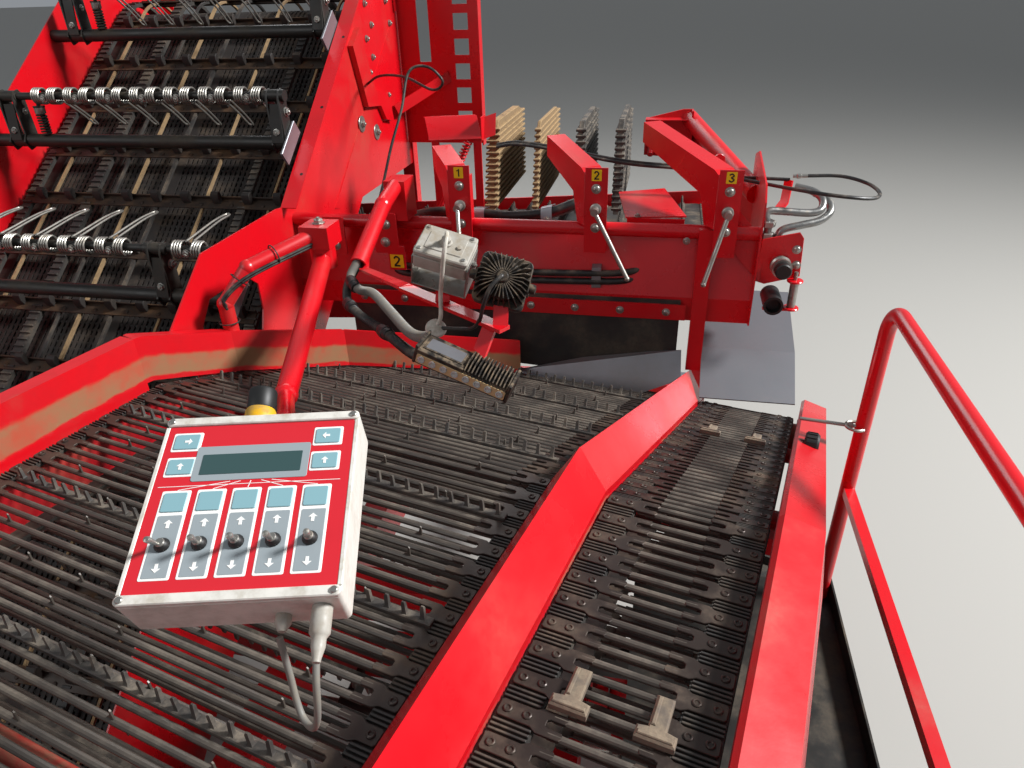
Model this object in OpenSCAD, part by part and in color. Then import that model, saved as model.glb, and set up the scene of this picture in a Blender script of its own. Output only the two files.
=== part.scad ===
// Trailed two-row potato harvester with side digging, haulm tower, sorting table and bunker.
// +X is the machine's left, -Y is the way it is towed, +Z is up, and the ground is at Z = 0.

/* [Chassis] */
// Front face of the main frame along Y
frame_front_y = -2900; // [-3100:10:-2750]
// Rear face of the main frame along Y
frame_rear_y = 5200; // [5150:10:5300]
// Height of the main beams' top faces
beam_top_z = 1150; // [1120:5:1170]
// Depth of a main beam
beam_h = 200; // [150:5:220]
// Width of a main beam
beam_w = 120; // [90:5:130]
// Centre of the left main beam along X
left_beam_x = 860; // [840:5:870]
// Centre of the right main beam along X
right_beam_x = -200; // [-210:5:-180]

/* [Axle and wheels] */
// Position of the axle along Y
axle_y = 3100; // [3080:10:3150]
// Outer diameter of a tyre at the lug tips
tyre_d = 1340; // [1280:10:1350]
// Width of a tyre
tyre_w = 600; // [500:10:610]
// Distance from the machine's middle to the middle of a wheel
wheel_x = 1435; // [1415:5:1435]
// Diameter of a rim over its flanges
rim_d = 690; // [640:5:720]
// Distance from the machine's middle to a kingpin
kingpin_x = 1040; // [1030:5:1045]
// Radius of a kingpin
kingpin_r = 30; // [24:1:34]
// Radius of a wheel spindle
spindle_r = 45; // [38:1:50]
// Side of the square axle beam
axle_box = 150; // [120:5:160]
// Length of a steering arm
steer_arm = 220; // [200:5:230]

/* [Drawbar] */
// Swing axis of the drawbar along X
drawbar_x = 450; // [400:10:500]
// Height of the tow eye's centre
tow_eye_z = 560; // [500:10:620]
// Distance from the swing axis to the tow eye's tip
drawbar_len = 2325; // [2200:5:2330]
// Bore of the tow eye
tow_eye_bore = 50; // [40:1:55]
// Side of the parking jack's sleeve
jack_sleeve = 110; // [100:2:120]

/* [Digging unit] */
// Angle of the digging web while parked
dig_angle = 8.5; // [8:0.1:9.5]
// Distance from the lift pivot to the front roller of the digging web
dig_len = 3150; // [3000:10:3200]
// Height of the lift pivot
dig_pivot_z = 950; // [940:5:960]
// Lift pivot along Y
dig_pivot_y = 850; // [840:5:860]
// Half the height of the digging web's loop
dig_loop_r = 90; // [80:2:95]
// Diameter of a coulter disc
disc_d = 700; // [600:10:720]
// Distance between the two ridges
row_gap = 620; // [600:5:630]

/* [Elevating channel] */
// Inner face of the channel's left wall
channel_left_x = -360; // [-364:1:-350]
// Outer face of the channel's right wall
channel_right_x = -1735; // [-1740:1:-1730]
// Thickness of a channel wall
wall_t = 6; // [4:0.5:8]
// Slope of the elevating web
channel_angle = 36.5; // [36:0.1:37]
// Distance along the slope from the lower to the upper bend of the haulm web
channel_len = 4650; // [4600:10:4670]
// Half the height of the haulm web's loop
haulm_loop_r = 180; // [170:5:185]

/* [Sorting table] */
// Angle of the sorting table to the machine's axis, as seen from above
table_yaw = 13; // [12:0.5:14]
// Height of the webs at the picking place
table_z = 2367; // [2360:1:2375]
// Fall of the webs' rear stretch
table_fall = 19.4; // [19:0.1:20]
// Width of the picking web
pick_w = 1250; // [1200:5:1260]
// Width of the divider between the webs
divider_w = 120; // [110:2:130]
// Width of the web for stones and clods
trash_w = 350; // [330:5:360]
// Front end of the webs, along the table
table_front = -1250; // [-1300:10:-1200]
// Rear end of the webs, along the table
table_rear = 2480; // [2450:5:2490]
// Where the webs begin to fall, along the table
table_bend = 1200; // [1150:10:1210]
// Height of a web's loop between its pitch lines
table_loop = 160; // [150:2:164]
// Diameter of a web rod
rod_d = 11; // [9:0.5:12]
// Distance from link to link of the sorting webs, each link being two rods
link_pitch = 61.5; // [58:0.5:66]
// Distance between the two rods of a link
rod_gap = 34; // [30:1:38]

/* [Separator] */
// Front edge of the finger web along Y
finger_front_y = 4000; // [3990:5:4020]
// Rear edge of the finger web along Y
finger_rear_y = 4950; // [4930:5:4960]
// Rise of the finger web towards the machine's left
finger_tilt = 3.5; // [3:0.1:3.6]

/* [Bunker and platform] */
// Front wall of the bunker along Y
bunker_front_y = -2700; // [-2750:10:-2650]
// Height of the bunker's rim
bunker_top_z = 2750; // [2650:10:2800]
// Height of the platform's floor
platform_z = 1530; // [1500:5:1550]
// Outer edge of the platform along X
platform_x = 1705; // [1690:5:1710]
// Diameter of the handrail tube
rail_d = 42; // [34:1:48]

/* [Hidden] */
red = "#b3121a";
dark = "#2b2b2c";
steel = "#8d8f90";
$fn = 32;
eps = 0.01;
// Seat left between two touching pieces
seat = 0.3;

table_pivot = [1055, 1025];
pick_x0 = -trash_w - divider_w - pick_w;
pick_x1 = -trash_w - divider_w;
fall_run = table_rear - table_bend;

function lerp(a, b, t) = a + (b - a) * t;
function surf_z(y) = y < table_bend ? table_z : table_z - (y - table_bend) * tan(table_fall);

// Closed loop of straight stretches and round bends through corner points p, all of radius r
function turn(a, b) = let (c = a[0] * b[1] - a[1] * b[0], d = a * b) atan2(c, d);
function dir(p, i) = let (n = len(p), q = p[(i + 1) % n] - p[i]) q / norm(q);
function bend_angle(p, i) = let (n = len(p)) turn(dir(p, (i + n - 1) % n), dir(p, i));
function tangent(p, r, i) = r * tan(abs(bend_angle(p, i)) / 2);
function straight(p, r, i) = let (n = len(p)) norm(p[(i + 1) % n] - p[i]) - tangent(p, r, i) - tangent(p, r, (i + 1) % n);
function arc(p, r, i) = r * abs(bend_angle(p, i)) * PI / 180;
function stretch(p, r, i) = arc(p, r, i) + straight(p, r, i);
function loop_length(p, r, i = 0) = i >= len(p) ? 0 : stretch(p, r, i) + loop_length(p, r, i + 1);
// Point and direction angle at distance s along stretch i, bend first
function on_stretch(p, r, i, s) =
  let (
    n = len(p),
    d0 = dir(p, (i + n - 1) % n),
    d1 = dir(p, i),
    a = bend_angle(p, i),
    t = tangent(p, r, i),
    start = p[i] - d0 * t,
    side = a < 0 ? -1 : 1,
    centre = start + side * r * [-d0[1], d0[0]],
    la = arc(p, r, i),
    turned = r < eps ? 0 : side * min(s, la) / r * 180 / PI,
    rel = start - centre
  )
  s < la
    ? [centre + [rel[0] * cos(turned) - rel[1] * sin(turned), rel[0] * sin(turned) + rel[1] * cos(turned)],
       atan2(d0[1], d0[0]) + turned]
    : [p[i] + d1 * (t + s - la), atan2(d1[1], d1[0])];
function at_length(p, r, s, i = 0) =
  let (l = stretch(p, r, i)) (s <= l || i == len(p) - 1) ? on_stretch(p, r, i, s) : at_length(p, r, s - l, i + 1);
// Outline of the loop moved outwards by off, for loops that run clockwise
function loop_outline(p, r, off) = [
  for (i = [0:len(p) - 1])
    let (steps = max(1, ceil(abs(bend_angle(p, i)) / 15)))
      for (k = [0:steps])
        let (q = on_stretch(p, r, i, arc(p, r, i) * k / steps - (k == steps ? eps : 0)))
          q[0] + off * [-sin(q[1]), cos(q[1])]
];

module box(a, b) {
  translate([min(a[0], b[0]), min(a[1], b[1]), min(a[2], b[2])])
    cube([abs(a[0] - b[0]), abs(a[1] - b[1]), abs(a[2] - b[2])]);
}

module rod_between(a, b, d) {
  v = b - a;
  l = norm(v);
  translate(a)
    rotate([0, acos(v[2] / l), atan2(v[1], v[0])])
      cylinder(d = d, h = l);
}

module round_x(x0, x1, y, z, d) {
  translate([min(x0, x1), y, z])
    rotate([0, 90, 0])
      cylinder(d = d, h = abs(x1 - x0));
}

// A side view in Y and Z, given thickness along X from x0 to x1
module side_plate(x0, x1) {
  translate([min(x0, x1), 0, 0])
    rotate([90, 0, 90])
      linear_extrude(abs(x1 - x0))
        children();
}

module belt(p, r, t, x0, x1) {
  outer = loop_outline(p, r, t / 2);
  inner = loop_outline(p, r, -t / 2);
  side_plate(x0, x1)
    difference() {
      polygon(outer);
      polygon(inner);
    }
}

// Rods along a loop, in groups that start a pitch apart, at the given places within each group
module rods(p, r, pitch, x0, x1, d, places = [0]) {
  total = loop_length(p, r);
  count = floor(total / pitch);
  for (k = [0:count - 1], s = places) {
    q = at_length(p, r, k * total / count + s);
    round_x(x0, x1, q[0][0], q[0][1], d);
  }
}

module in_table() {
  translate([table_pivot[0], table_pivot[1], 0])
    rotate([0, 0, -table_yaw])
      children();
}

module in_channel() {
  translate([0, channel_y, channel_z])
    rotate([channel_angle, 0, 0])
      children();
}

module in_digger() {
  translate([0, dig_pivot_y, dig_pivot_z])
    rotate([dig_angle, 0, 0])
      children();
}

// Lower end of the haulm web's upper side
channel_y = 1000;
channel_z = 620;

// A point of the channel's side view, from its place along and above the haulm web
function ch(s, n) = [
  channel_y + s * cos(channel_angle) - n * sin(channel_angle),
  channel_z + s * sin(channel_angle) + n * cos(channel_angle)
];

beam_bottom_z = beam_top_z - beam_h;
rear_cross_y = 4980;
rear_post_y = rear_cross_y + 10;
axle_z = tyre_d / 2;
axle_top_z = axle_z + axle_box / 2;
left_beam_in = left_beam_x - beam_w / 2;
right_beam_in = right_beam_x + beam_w / 2;
right_beam_out = right_beam_x - beam_w / 2;
drawbar_y = frame_front_y - 150;
pivot_plate = 30;
pivot_pin = 60;
// Rod spacing of the digging and elevating webs
wide_pitch = 84;
web_x0 = channel_right_x + 45;
web_x1 = channel_left_x - 45;
wall_in_right = channel_right_x + wall_t;
wall_in_left = channel_left_x - wall_t;

module chassis_frame() {
  color(red) {
    difference() {
      union() {
        for (x = [left_beam_x, right_beam_x])
          box([x - beam_w / 2, frame_front_y, beam_bottom_z], [x + beam_w / 2, frame_rear_y, beam_top_z]);
        // Cross members between the main beams
        for (y = [frame_front_y, -350, axle_y - 60])
          box([right_beam_in - 1, y, beam_bottom_z], [left_beam_in + 1, y + 120, beam_top_z]);
        // Rear cross beam out to both sides
        box([channel_right_x, rear_cross_y, beam_bottom_z], [deck_x1, rear_cross_y + 120, beam_top_z]);
        // Fork of the drawbar's swing pin
        for (z = [beam_bottom_z, beam_top_z - pivot_plate])
          box([drawbar_x - 170, frame_front_y + 1, z], [drawbar_x + 170, drawbar_y - 110, z + pivot_plate]);
        // Brackets that carry the channel's left wall
        for (y = [1300, 1900])
          box([channel_left_x, y, beam_top_z - 150], [right_beam_out + 1, y + 160, beam_top_z - 50]);
        // Pivot lug of the digging unit
        box([right_beam_out - 40, dig_pivot_y - 70, dig_pivot_z - 70], [right_beam_out + 1, dig_pivot_y + 70, dig_pivot_z + 90]);
      }
      // Hole of the swing pin
      translate([drawbar_x, drawbar_y, beam_bottom_z - 1])
        cylinder(r = 25, h = beam_h + 2);
      round_x(right_beam_out - 63, right_beam_out + 2, dig_pivot_y, dig_pivot_z, pivot_pin + 0.15);
    }
  }
}

module axle_beam() {
  half = kingpin_x;
  color(red)
    difference() {
      union() {
        box([-half + 55, axle_y - axle_box / 2, axle_z - axle_box / 2], [half - 55, axle_y + axle_box / 2, axle_top_z]);
        // Saddles under the main beams
        for (x = [left_beam_x, right_beam_x])
          box([x - 60, axle_y - 75, axle_top_z - 1], [x + 60, axle_y + 75, beam_bottom_z]);
        // Forks of the kingpins
        for (side = [-1, 1], z = [axle_z - 150, axle_z + 120])
          translate([side * (half - 50), axle_y, z])
            linear_extrude(30)
              union() {
                translate([side * 50, 0])
                  circle(r = kingpin_r + 30);
                square([100, 2 * kingpin_r + 60], center = true);
              }
        for (side = [-1, 1])
          box([side * (half - 100), axle_y - 60, axle_z - 150], [side * (half - 70), axle_y + 60, axle_z + 150]);
      }
      for (side = [-1, 1])
        translate([side * kingpin_x, axle_y, axle_z - 200])
          cylinder(r = kingpin_r + 0.05, h = 400);
    }
}

tie_y = axle_y - steer_arm;
tie_z = axle_z - 90;
steer_barrel_d = 90;

module steering_cylinder() {
  color(dark)
    difference() {
      union() {
        round_x(-180, 180, tie_y, tie_z, steer_barrel_d);
        for (x = [-150, 120])
          box([x, tie_y, tie_z - 30], [x + 30, axle_y - axle_box / 2, tie_z + 70]);
      }
      round_x(-181, 181, tie_y, tie_z, 40.1);
    }
}

module tie_rod() {
  eye = 17;
  color(steel)
    difference() {
      union() {
        round_x(-kingpin_x + 30, kingpin_x - 30, tie_y, tie_z, 40);
        for (side = [-1, 1])
          translate([side * kingpin_x, tie_y, tie_z - 18])
            cylinder(r = eye + 17, h = 36);
      }
      for (side = [-1, 1])
        translate([side * kingpin_x, tie_y, tie_z - 30])
          cylinder(r = eye, h = 60);
    }
}

module knuckle(side) {
  color(red)
    translate([side * kingpin_x, axle_y, axle_z]) {
      cylinder(r = kingpin_r + 22, h = 236, center = true);
      cylinder(r = kingpin_r, h = 300, center = true);
      // Spindle
      rotate([0, side * 90, 0])
        cylinder(r = spindle_r, h = wheel_x - kingpin_x + 40);
      rotate([0, side * 90, 0])
        cylinder(r = spindle_r + 25, h = wheel_x - kingpin_x - 130);
      // Steering arm
      box([-28, -steer_arm - 28, tie_z - axle_z + 22], [28, 0, tie_z - axle_z + 52]);
      translate([0, -steer_arm, tie_z - axle_z - 30])
        cylinder(r = 11, h = 60);
    }
}

module knuckle_left() {
  knuckle(1);
}

module knuckle_right() {
  knuckle(-1);
}

// Rim and hub, turned about the wheel's axis
module rim(side) {
  r = rim_d / 2;
  half = tyre_w / 2 - 35;
  color("#b9bbb8")
    translate([side * wheel_x, axle_y, axle_z])
      rotate([0, side * 90, 0])
        difference() {
          union() {
            rotate_extrude()
              polygon([
                [r, -half], [r, -half + 12], [r - 22, -half + 14], [r - 24, -90], [r - 55, -60], [r - 55, 60],
                [r - 24, 90], [r - 22, half - 14], [r, half - 12], [r, half], [r - 14, half], [r - 34, half - 20],
                [r - 36, 95], [r - 67, 65], [r - 67, -65], [r - 36, -95], [r - 34, -half + 20], [r - 14, -half]
              ]);
            rotate_extrude()
              polygon([[spindle_r + 1, -10], [135, -10], [210, 40], [r - 60, 40], [r - 60, 56], [205, 56], [128, 8], [spindle_r + 1, 8]]);
            translate([0, 0, -110])
              cylinder(r = spindle_r + 35, h = 170);
          }
          translate([0, 0, -120])
            cylinder(r = spindle_r + 0.05, h = 164);
          for (a = [0:36:359])
            rotate([0, 0, a])
              translate([112, 0, -30])
                cylinder(r = 11, h = 60);
        }
}

module rim_left() {
  rim(1);
}

module rim_right() {
  rim(-1);
}

module tyre(side) {
  r = tyre_d / 2;
  rr = rim_d / 2;
  w = tyre_w / 2;
  color("#1d1d1e")
    translate([side * wheel_x, axle_y, axle_z])
      rotate([0, 90, 0])
        rotate_extrude()
          polygon([
            [rr, -w + 40], [rr + 60, -w + 8], [rr + 150, -w], [r - 90, -w + 12], [r - 25, -w + 40], [r - 6, -w + 90], [r, 0],
            [r - 6, w - 90], [r - 25, w - 40], [r - 90, w - 12], [rr + 150, w], [rr + 60, w - 8], [rr, w - 40],
            [rr, w - 52], [rr + 60, w - 34], [r - 70, w - 60], [r - 70, -w + 60], [rr + 60, -w + 34], [rr, -w + 52]
          ]);
}

module tyre_left() {
  tyre(1);
}

module tyre_right() {
  tyre(-1);
}

// Swinging drawbar with the parking jack's sleeve
draw_z = (beam_bottom_z + beam_top_z) / 2;
draw_gap = 1;
draw_tip_y = drawbar_y - drawbar_len;
jack_y = drawbar_y - 1150;
jack_x = drawbar_x + 215;

module drawbar() {
  h = beam_h - 2 * pivot_plate - 2 * draw_gap;
  color(red)
    difference() {
      union() {
        // Head between the fork's plates
        translate([drawbar_x, drawbar_y, draw_z - h / 2])
          cylinder(r = 100, h = h);
        // Beam, cranked down to the tow eye
        translate([drawbar_x - 75, 0, 0])
          side_plate(0, 150)
            polygon([
              [drawbar_y, draw_z - h / 2], [drawbar_y, draw_z + h / 2], [drawbar_y - 1250, draw_z + h / 2],
              [drawbar_y - 1900, tow_eye_z + 90], [draw_tip_y + 240, tow_eye_z + 75], [draw_tip_y + 240, tow_eye_z - 75],
              [drawbar_y - 1850, tow_eye_z - 90], [drawbar_y - 1150, draw_z - h / 2]
            ]);
        // Sleeve of the parking jack and its bracket
        translate([jack_x - jack_sleeve / 2, jack_y - jack_sleeve / 2, 450])
          cube([jack_sleeve, jack_sleeve, 700]);
        box([drawbar_x + 74, jack_y - 45, draw_z - 60], [jack_x, jack_y + 45, draw_z + 60]);
      }
      // Inside of the sleeve
      translate([jack_x - jack_sleeve / 2 + 8, jack_y - jack_sleeve / 2 + 8, 440])
        cube([jack_sleeve - 16, jack_sleeve - 16, 720]);
      translate([drawbar_x, drawbar_y, 0])
        cylinder(r = 25, h = 2000);
    }
}

module tow_eye() {
  color(steel)
    difference() {
      union() {
        translate([drawbar_x, draw_tip_y + 70, tow_eye_z - 20])
          cylinder(r = 70, h = 40);
        box([drawbar_x - 45, draw_tip_y + 80, tow_eye_z - 25], [drawbar_x + 45, draw_tip_y + 220, tow_eye_z + 25]);
        box([drawbar_x - 75, draw_tip_y + 215, tow_eye_z - 75], [drawbar_x + 75, draw_tip_y + 240, tow_eye_z + 75]);
      }
      translate([drawbar_x, draw_tip_y + 70, tow_eye_z - 30])
        cylinder(r = tow_eye_bore / 2, h = 60);
    }
}

module jack_leg() {
  inner = jack_sleeve - 16 - 2;
  color(steel) {
    translate([jack_x - inner / 2, jack_y - inner / 2, 15])
      cube([inner, inner, 1050]);
    translate([jack_x, jack_y, 0])
      cylinder(r = 130, h = 16);
  }
}

// Digging unit, drawn level with its lift pivot at the origin and tilted as one
dig_in_left = channel_left_x - 18;
dig_in_right = channel_right_x + 18;
dig_t = 10;
dig_x1 = dig_in_left - dig_t;
dig_x0 = dig_in_right + dig_t;
dig_front = -dig_len - 100;
bar_y = -3000;
bar_z = 560;

module dig_side() {
  polygon([
    [60, -60], [60, 250], [-2850, 300], [-2900, bar_z + 40], [-3080, bar_z + 40], [dig_front - 40, 160],
    [dig_front - 120, 20], [dig_front - 60, -150], [-2900, -190], [-200, -190]
  ]);
}

module digger_frame() {
  color(red)
    in_digger()
      difference() {
        union() {
          side_plate(dig_in_left, dig_x1)
            dig_side();
          side_plate(dig_in_right, dig_x0)
            dig_side();
          // Lift pins
          round_x(dig_in_left - 1, right_beam_out - 2, 0, 0, pivot_pin);
          round_x(channel_right_x, dig_in_right + 1, 0, 0, pivot_pin);
          // Cross tubes between the web's strands
          for (y = [-700, -1500, -2300])
            round_x(dig_x0 - 1, dig_x1 + 1, y, 0, 76);
          // Toolbar over the intake
          box([dig_x0 - 1, bar_y - 50, bar_z - 50], [dig_x1 + 1, bar_y + 50, bar_z + 40]);
          // Share carrier
          in_share()
            box([dig_x0 - 1, -60, -46], [dig_x1 + 1, 15, -6]);
          // Arms of the coulter discs
          for (x = disc_xs)
            translate([x + 34, 0, 0])
              side_plate(0, 20)
                polygon([
                  [bar_y - 49, bar_z - 50], [bar_y - 49, bar_z + 20], [disc_y - 60, bar_z - 120], [disc_y - 45, disc_z - 40],
                  [disc_y + 45, disc_z - 40], [disc_y + 45, bar_z - 200]
                ]);
          for (x = disc_xs)
            round_x(x - 20, x + 35, disc_y, disc_z, 40);
          // Arms of the ridge rollers
          for (x = ridge_xs, side = [-1, 1])
            translate([x + side * (ridge_w / 2 + 20) - 8, 0, 0])
              side_plate(0, 16)
                polygon([
                  [bar_y - 49, bar_z - 40], [bar_y - 49, bar_z + 38], [ridge_y - 50, ridge_z + 130], [ridge_y - 50, ridge_z - 40],
                  [ridge_y + 50, ridge_z - 40], [ridge_y + 50, ridge_z + 60]
                ]);
          // Rollers that turn the web, with their flanges
          for (y = [-dig_len + dig_loop_r, 0])
            round_x(dig_x0 - 1, dig_x1 + 1, y, 0, 2 * dig_loop_r - 24);
        }
        for (x = ridge_xs)
          round_x(x - ridge_w / 2 - 60, x + ridge_w / 2 + 60, ridge_y, ridge_z, 40.1);
      }
}

dig_mid_x = (channel_left_x + channel_right_x) / 2;
disc_y = -dig_len - 550;
disc_z = 90;
disc_xs = [dig_mid_x - row_gap, dig_mid_x, dig_mid_x + row_gap];
ridge_y = -4010;
ridge_z = 250;
ridge_w = 440;
ridge_xs = [dig_mid_x - row_gap / 2, dig_mid_x + row_gap / 2];

module in_share() {
  translate([0, dig_front - 30, -75])
    rotate([20, 0, 0])
      children();
}

module shares() {
  color(steel)
    in_digger()
      in_share()
        for (x = ridge_xs, k = [-1, 0, 1])
          translate([x + k * 175, 0, -6 + seat])
            linear_extrude(12)
              polygon([[-84, 15], [-84, -300], [0, -430], [84, -300], [84, 15]]);
}

module digging_web() {
  p = [[-dig_len, dig_loop_r], [dig_loop_r, dig_loop_r], [dig_loop_r, -dig_loop_r], [-dig_len, -dig_loop_r]];
  color(dark)
    in_digger() {
      for (x = [dig_x0 + 12, dig_x1 - 62])
        belt(p, dig_loop_r, 15, x, x + 50);
      rods(p, dig_loop_r, wide_pitch, dig_x0 + 30, dig_x1 - 30, rod_d);
    }
}

module coulter(x) {
  color(steel)
    in_digger()
      translate([x, disc_y, disc_z])
        rotate([0, 90, 0])
          difference() {
            rotate_extrude()
              polygon([[0, -4], [disc_d / 2 - 25, -4], [disc_d / 2, 0], [disc_d / 2 - 25, 4], [90, 4], [90, 18], [60, 26], [60, 30], [0, 30]]);
            translate([0, 0, -41])
              cylinder(r = 20.05, h = 82);
          }
}

module disc_right() {
  coulter(disc_xs[0]);
}

module disc_middle() {
  coulter(disc_xs[1]);
}

module disc_left() {
  coulter(disc_xs[2]);
}

// Roller with a waist, which runs on a ridge and sets the depth
module ridge_roller(x) {
  w = ridge_w / 2;
  color(dark)
    in_digger()
      translate([x, ridge_y, ridge_z])
        rotate([0, 90, 0])
          rotate_extrude()
            polygon(concat(
              [[0, -w - 35], [20, -w - 35], [20, -w], [40, -w]],
              [for (k = [-6:6]) [130 + 100 * pow(abs(k) / 6, 1.6), k / 6 * w]],
              [[40, w], [20, w], [20, w + 35], [0, w + 35]]
            ));
}

module ridge_roller_right() {
  ridge_roller(ridge_xs[0]);
}

module ridge_roller_left() {
  ridge_roller(ridge_xs[1]);
}

// Side walls of the elevating channel
wall_low = -2 * haulm_loop_r - 70;
wall_rear_y = rear_post_y;
wall_bottom_z = 2480;
wall_low_s = (wall_bottom_z - ch(0, wall_low)[1]) / sin(channel_angle);

// Edge of the left wall above the table's corner, where the wall has a flange
edge_low = [3476, 2636];
edge_high = ch(4560, 190);
flange_w = 58;
flange_t = 5;

module tower_wall() {
  color(red) {
    side_plate(wall_in_left, channel_left_x)
      difference() {
        polygon([
          ch(-120, wall_low), ch(-120, 140), ch(1880, 140), [2780, 1900], [2780, 2440], [2684, 2452],
          [2940, 2637], [3434, 2642], edge_low, edge_high, [4800, 3720], [4860, 3800],
          [wall_rear_y, 3800], [wall_rear_y, wall_bottom_z], ch(wall_low_s, wall_low)
        ]);
        // Cut-out at the table's corner
        polygon([[2840, 2200], [2860, 2420], [2925, 2487], [3142, 2487], [3215, 2430], [3215, 2330], [3160, 2200]]);
        // Slots for setting the upper roller
        for (q = [[4312, 2633], [4763, 2973]])
          translate(q)
            rotate(channel_angle)
              square([90, 26], center = true);
      }
    // Flange folded out along the upper edge
    side_plate(channel_left_x - 1, channel_left_x + flange_w)
      edge_strip(0, flange_t);
    // Doubling sheet along the lower part, and the rib on the wall's face
    side_plate(channel_left_x - 1, channel_left_x + 4)
      polygon([
        ch(3470, -215), ch(4700, -215), [4906, 2520], [3960, 2500]
      ]);
    side_plate(channel_left_x - 1, channel_left_x + 28)
      polygon([
        [4379, 3203], [4277, 3135], [4374, 2868], [4533, 2851], [4589, 2778], [4683, 2757], [4667, 2865],
        [4600, 2906], [4480, 2930]
      ]);
  }
}

// Strip inside the wall's edge
module edge_strip(from, to) {
  v = (edge_high - edge_low) / norm(edge_high - edge_low);
  inward = [v[1], -v[0]];
  polygon([edge_low + from * inward, edge_high + from * inward, edge_high + to * inward, edge_low + to * inward]);
}

// Sheet across the tower's rear corner with a column of openings, and the bar that braces it
rear_panel_y = 4945;
rear_panel_x = 90;
rear_panel_low = 2600;
panel_t = 5;

module rear_panel() {
  x0 = channel_left_x + 4 + seat;
  hole_w = 78;
  hole_h = 76;
  hole_pitch = 117;
  color(red)
    difference() {
      union() {
        box([x0, rear_panel_y, rear_panel_low], [rear_panel_x, rear_panel_y + panel_t, 3790]);
        // Flanges at both sides
        box([rear_panel_x - panel_t, rear_panel_y - 60, rear_panel_low], [rear_panel_x, rear_panel_y + 1, 3790]);
        box([x0, rear_panel_y - 40, 3250], [x0 + panel_t, rear_panel_y + 1, 3790]);
        box([x0, rear_panel_y, rear_panel_low], [x0 + 60, wall_rear_y, rear_panel_low + panel_t]);
        // Brace from the wall to the sheet
        flat_bar([-336, 4750, 2798], [-95, rear_panel_y + 1, 2940], 12, 55);
      }
      for (k = [0:8])
        translate([rear_panel_x - 148, rear_panel_y - 1, 2690 + k * hole_pitch])
          cube([hole_w, panel_t + 2, hole_h]);
      translate([-250, rear_panel_y - 1, 3010])
        cube([62, panel_t + 2, 640]);
    }
}

module outer_wall() {
  color(red)
    side_plate(channel_right_x, wall_in_right)
      difference() {
        polygon([
          ch(-120, wall_low), ch(-120, 260), [760, dig_pivot_z + 70], [940, dig_pivot_z + 90], ch(500, 260), ch(4560, 260), [4800, 3760],
          [4860, 3800], [wall_rear_y, 3800], [wall_rear_y, wall_bottom_z], ch(wall_low_s, wall_low)
        ]);
        translate([dig_pivot_y, dig_pivot_z])
          circle(d = pivot_pin + 0.15);
      }
}

module channel_shafts() {
  mid = -haulm_loop_r;
  color(dark)
    in_channel() {
      // Rollers in the bends
      for (s = [haulm_loop_r, channel_len - haulm_loop_r])
        round_x(wall_in_right, wall_in_left, s, mid, 2 * haulm_loop_r - 190);
      // Cross tubes between the strands
      for (s = [1200, 2100, 3000])
        round_x(wall_in_right, wall_in_left, s, mid, 90);
    }
}

haulm_path = [[0, 0], [channel_len, 0], [channel_len, -2 * haulm_loop_r], [0, -2 * haulm_loop_r]];
main_gap = 55;
main_r = haulm_loop_r - main_gap;
main_path = [
  [main_gap, -main_gap], [channel_len - main_gap, -main_gap],
  [channel_len - main_gap, -2 * haulm_loop_r + main_gap], [main_gap, -2 * haulm_loop_r + main_gap]
];

module main_web() {
  color(dark)
    in_channel() {
      for (x = [web_x0, (web_x0 + web_x1) / 2 - 25, web_x1 - 50])
        belt(main_path, main_r, 15, x, x + 50);
      rods(main_path, main_r, wide_pitch, web_x0 + 20, web_x1 - 20, rod_d);
    }
}

module haulm_web() {
  color("#3a352f")
    in_channel() {
      for (k = [0:4])
        let (x = lerp(web_x0, web_x1 - 45, k / 4))
          belt(haulm_path, haulm_loop_r, 22, x, x + 45);
      rods(haulm_path, haulm_loop_r, 290, web_x0 + 20, web_x1 - 20, 20);
    }
}

comb_n = 205;
comb_ss = [2050, 2750, 3454, 4067];

module haulm_combs() {
  color(dark)
    in_channel()
      for (s = comb_ss) {
        round_x(wall_in_right, wall_in_left, s, comb_n, 45);
        for (x = [wall_in_right + 100:150:wall_in_left - 60])
          rod_between([x, s, comb_n], [x, s + 130, comb_n - 150], 9);
      }
}

// Cross conveyor with rubber fingers, tilted up towards the machine's left
finger_x0 = -1640;
finger_len = 2960;
deck_x1 = finger_x0 + finger_len + 80;
finger_z = 2120;
finger_r = 90;

module in_finger() {
  translate([finger_x0, 0, finger_z])
    rotate([0, -finger_tilt, 0])
      children();
}

// Turns a side view in Y and Z into a front view in X and Z, with its thickness along Y
module across() {
  rotate([0, 0, -90])
    children();
}

module finger_web() {
  p = [[0, 0], [finger_len, 0], [finger_len, -2 * finger_r], [0, -2 * finger_r]];
  total = loop_length(p, finger_r);
  count = 60;
  color("#2e2b28")
    in_finger() {
      across() {
        belt(p, finger_r, 20, -finger_rear_y + 10, -finger_front_y - 10);
      }
      for (k = [0:count - 1])
        let (q = at_length(p, finger_r, k * total / count))
          translate([q[0][0], finger_front_y + 15, q[0][1]])
            rotate([0, -q[1], 0])
              translate([-5, 0, 5])
                cube([10, finger_rear_y - finger_front_y - 30, 40]);
    }
}

module finger_frame() {
  color(red) {
    in_finger() {
      for (y = [finger_front_y - 20, rear_post_y - 12])
        translate([-60, y, -240])
          cube([finger_len + 120, 12, 300]);
      for (x = [finger_r, finger_len - finger_r])
        translate([x, finger_front_y - 9, -finger_r])
          rotate([-90, 0, 0])
            cylinder(r = finger_r - 14, h = rear_post_y - finger_front_y + 8);
    }
    // Legs and posts on the rear cross beam
    for (x = [channel_right_x, channel_left_x - 60])
      box([x, rear_post_y, beam_top_z], [x + 70, rear_post_y + 70, 3700]);
    box([deck_x1 - 100, rear_post_y, beam_top_z], [deck_x1 - 30, rear_post_y + 70, 2560]);
  }
}

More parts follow.
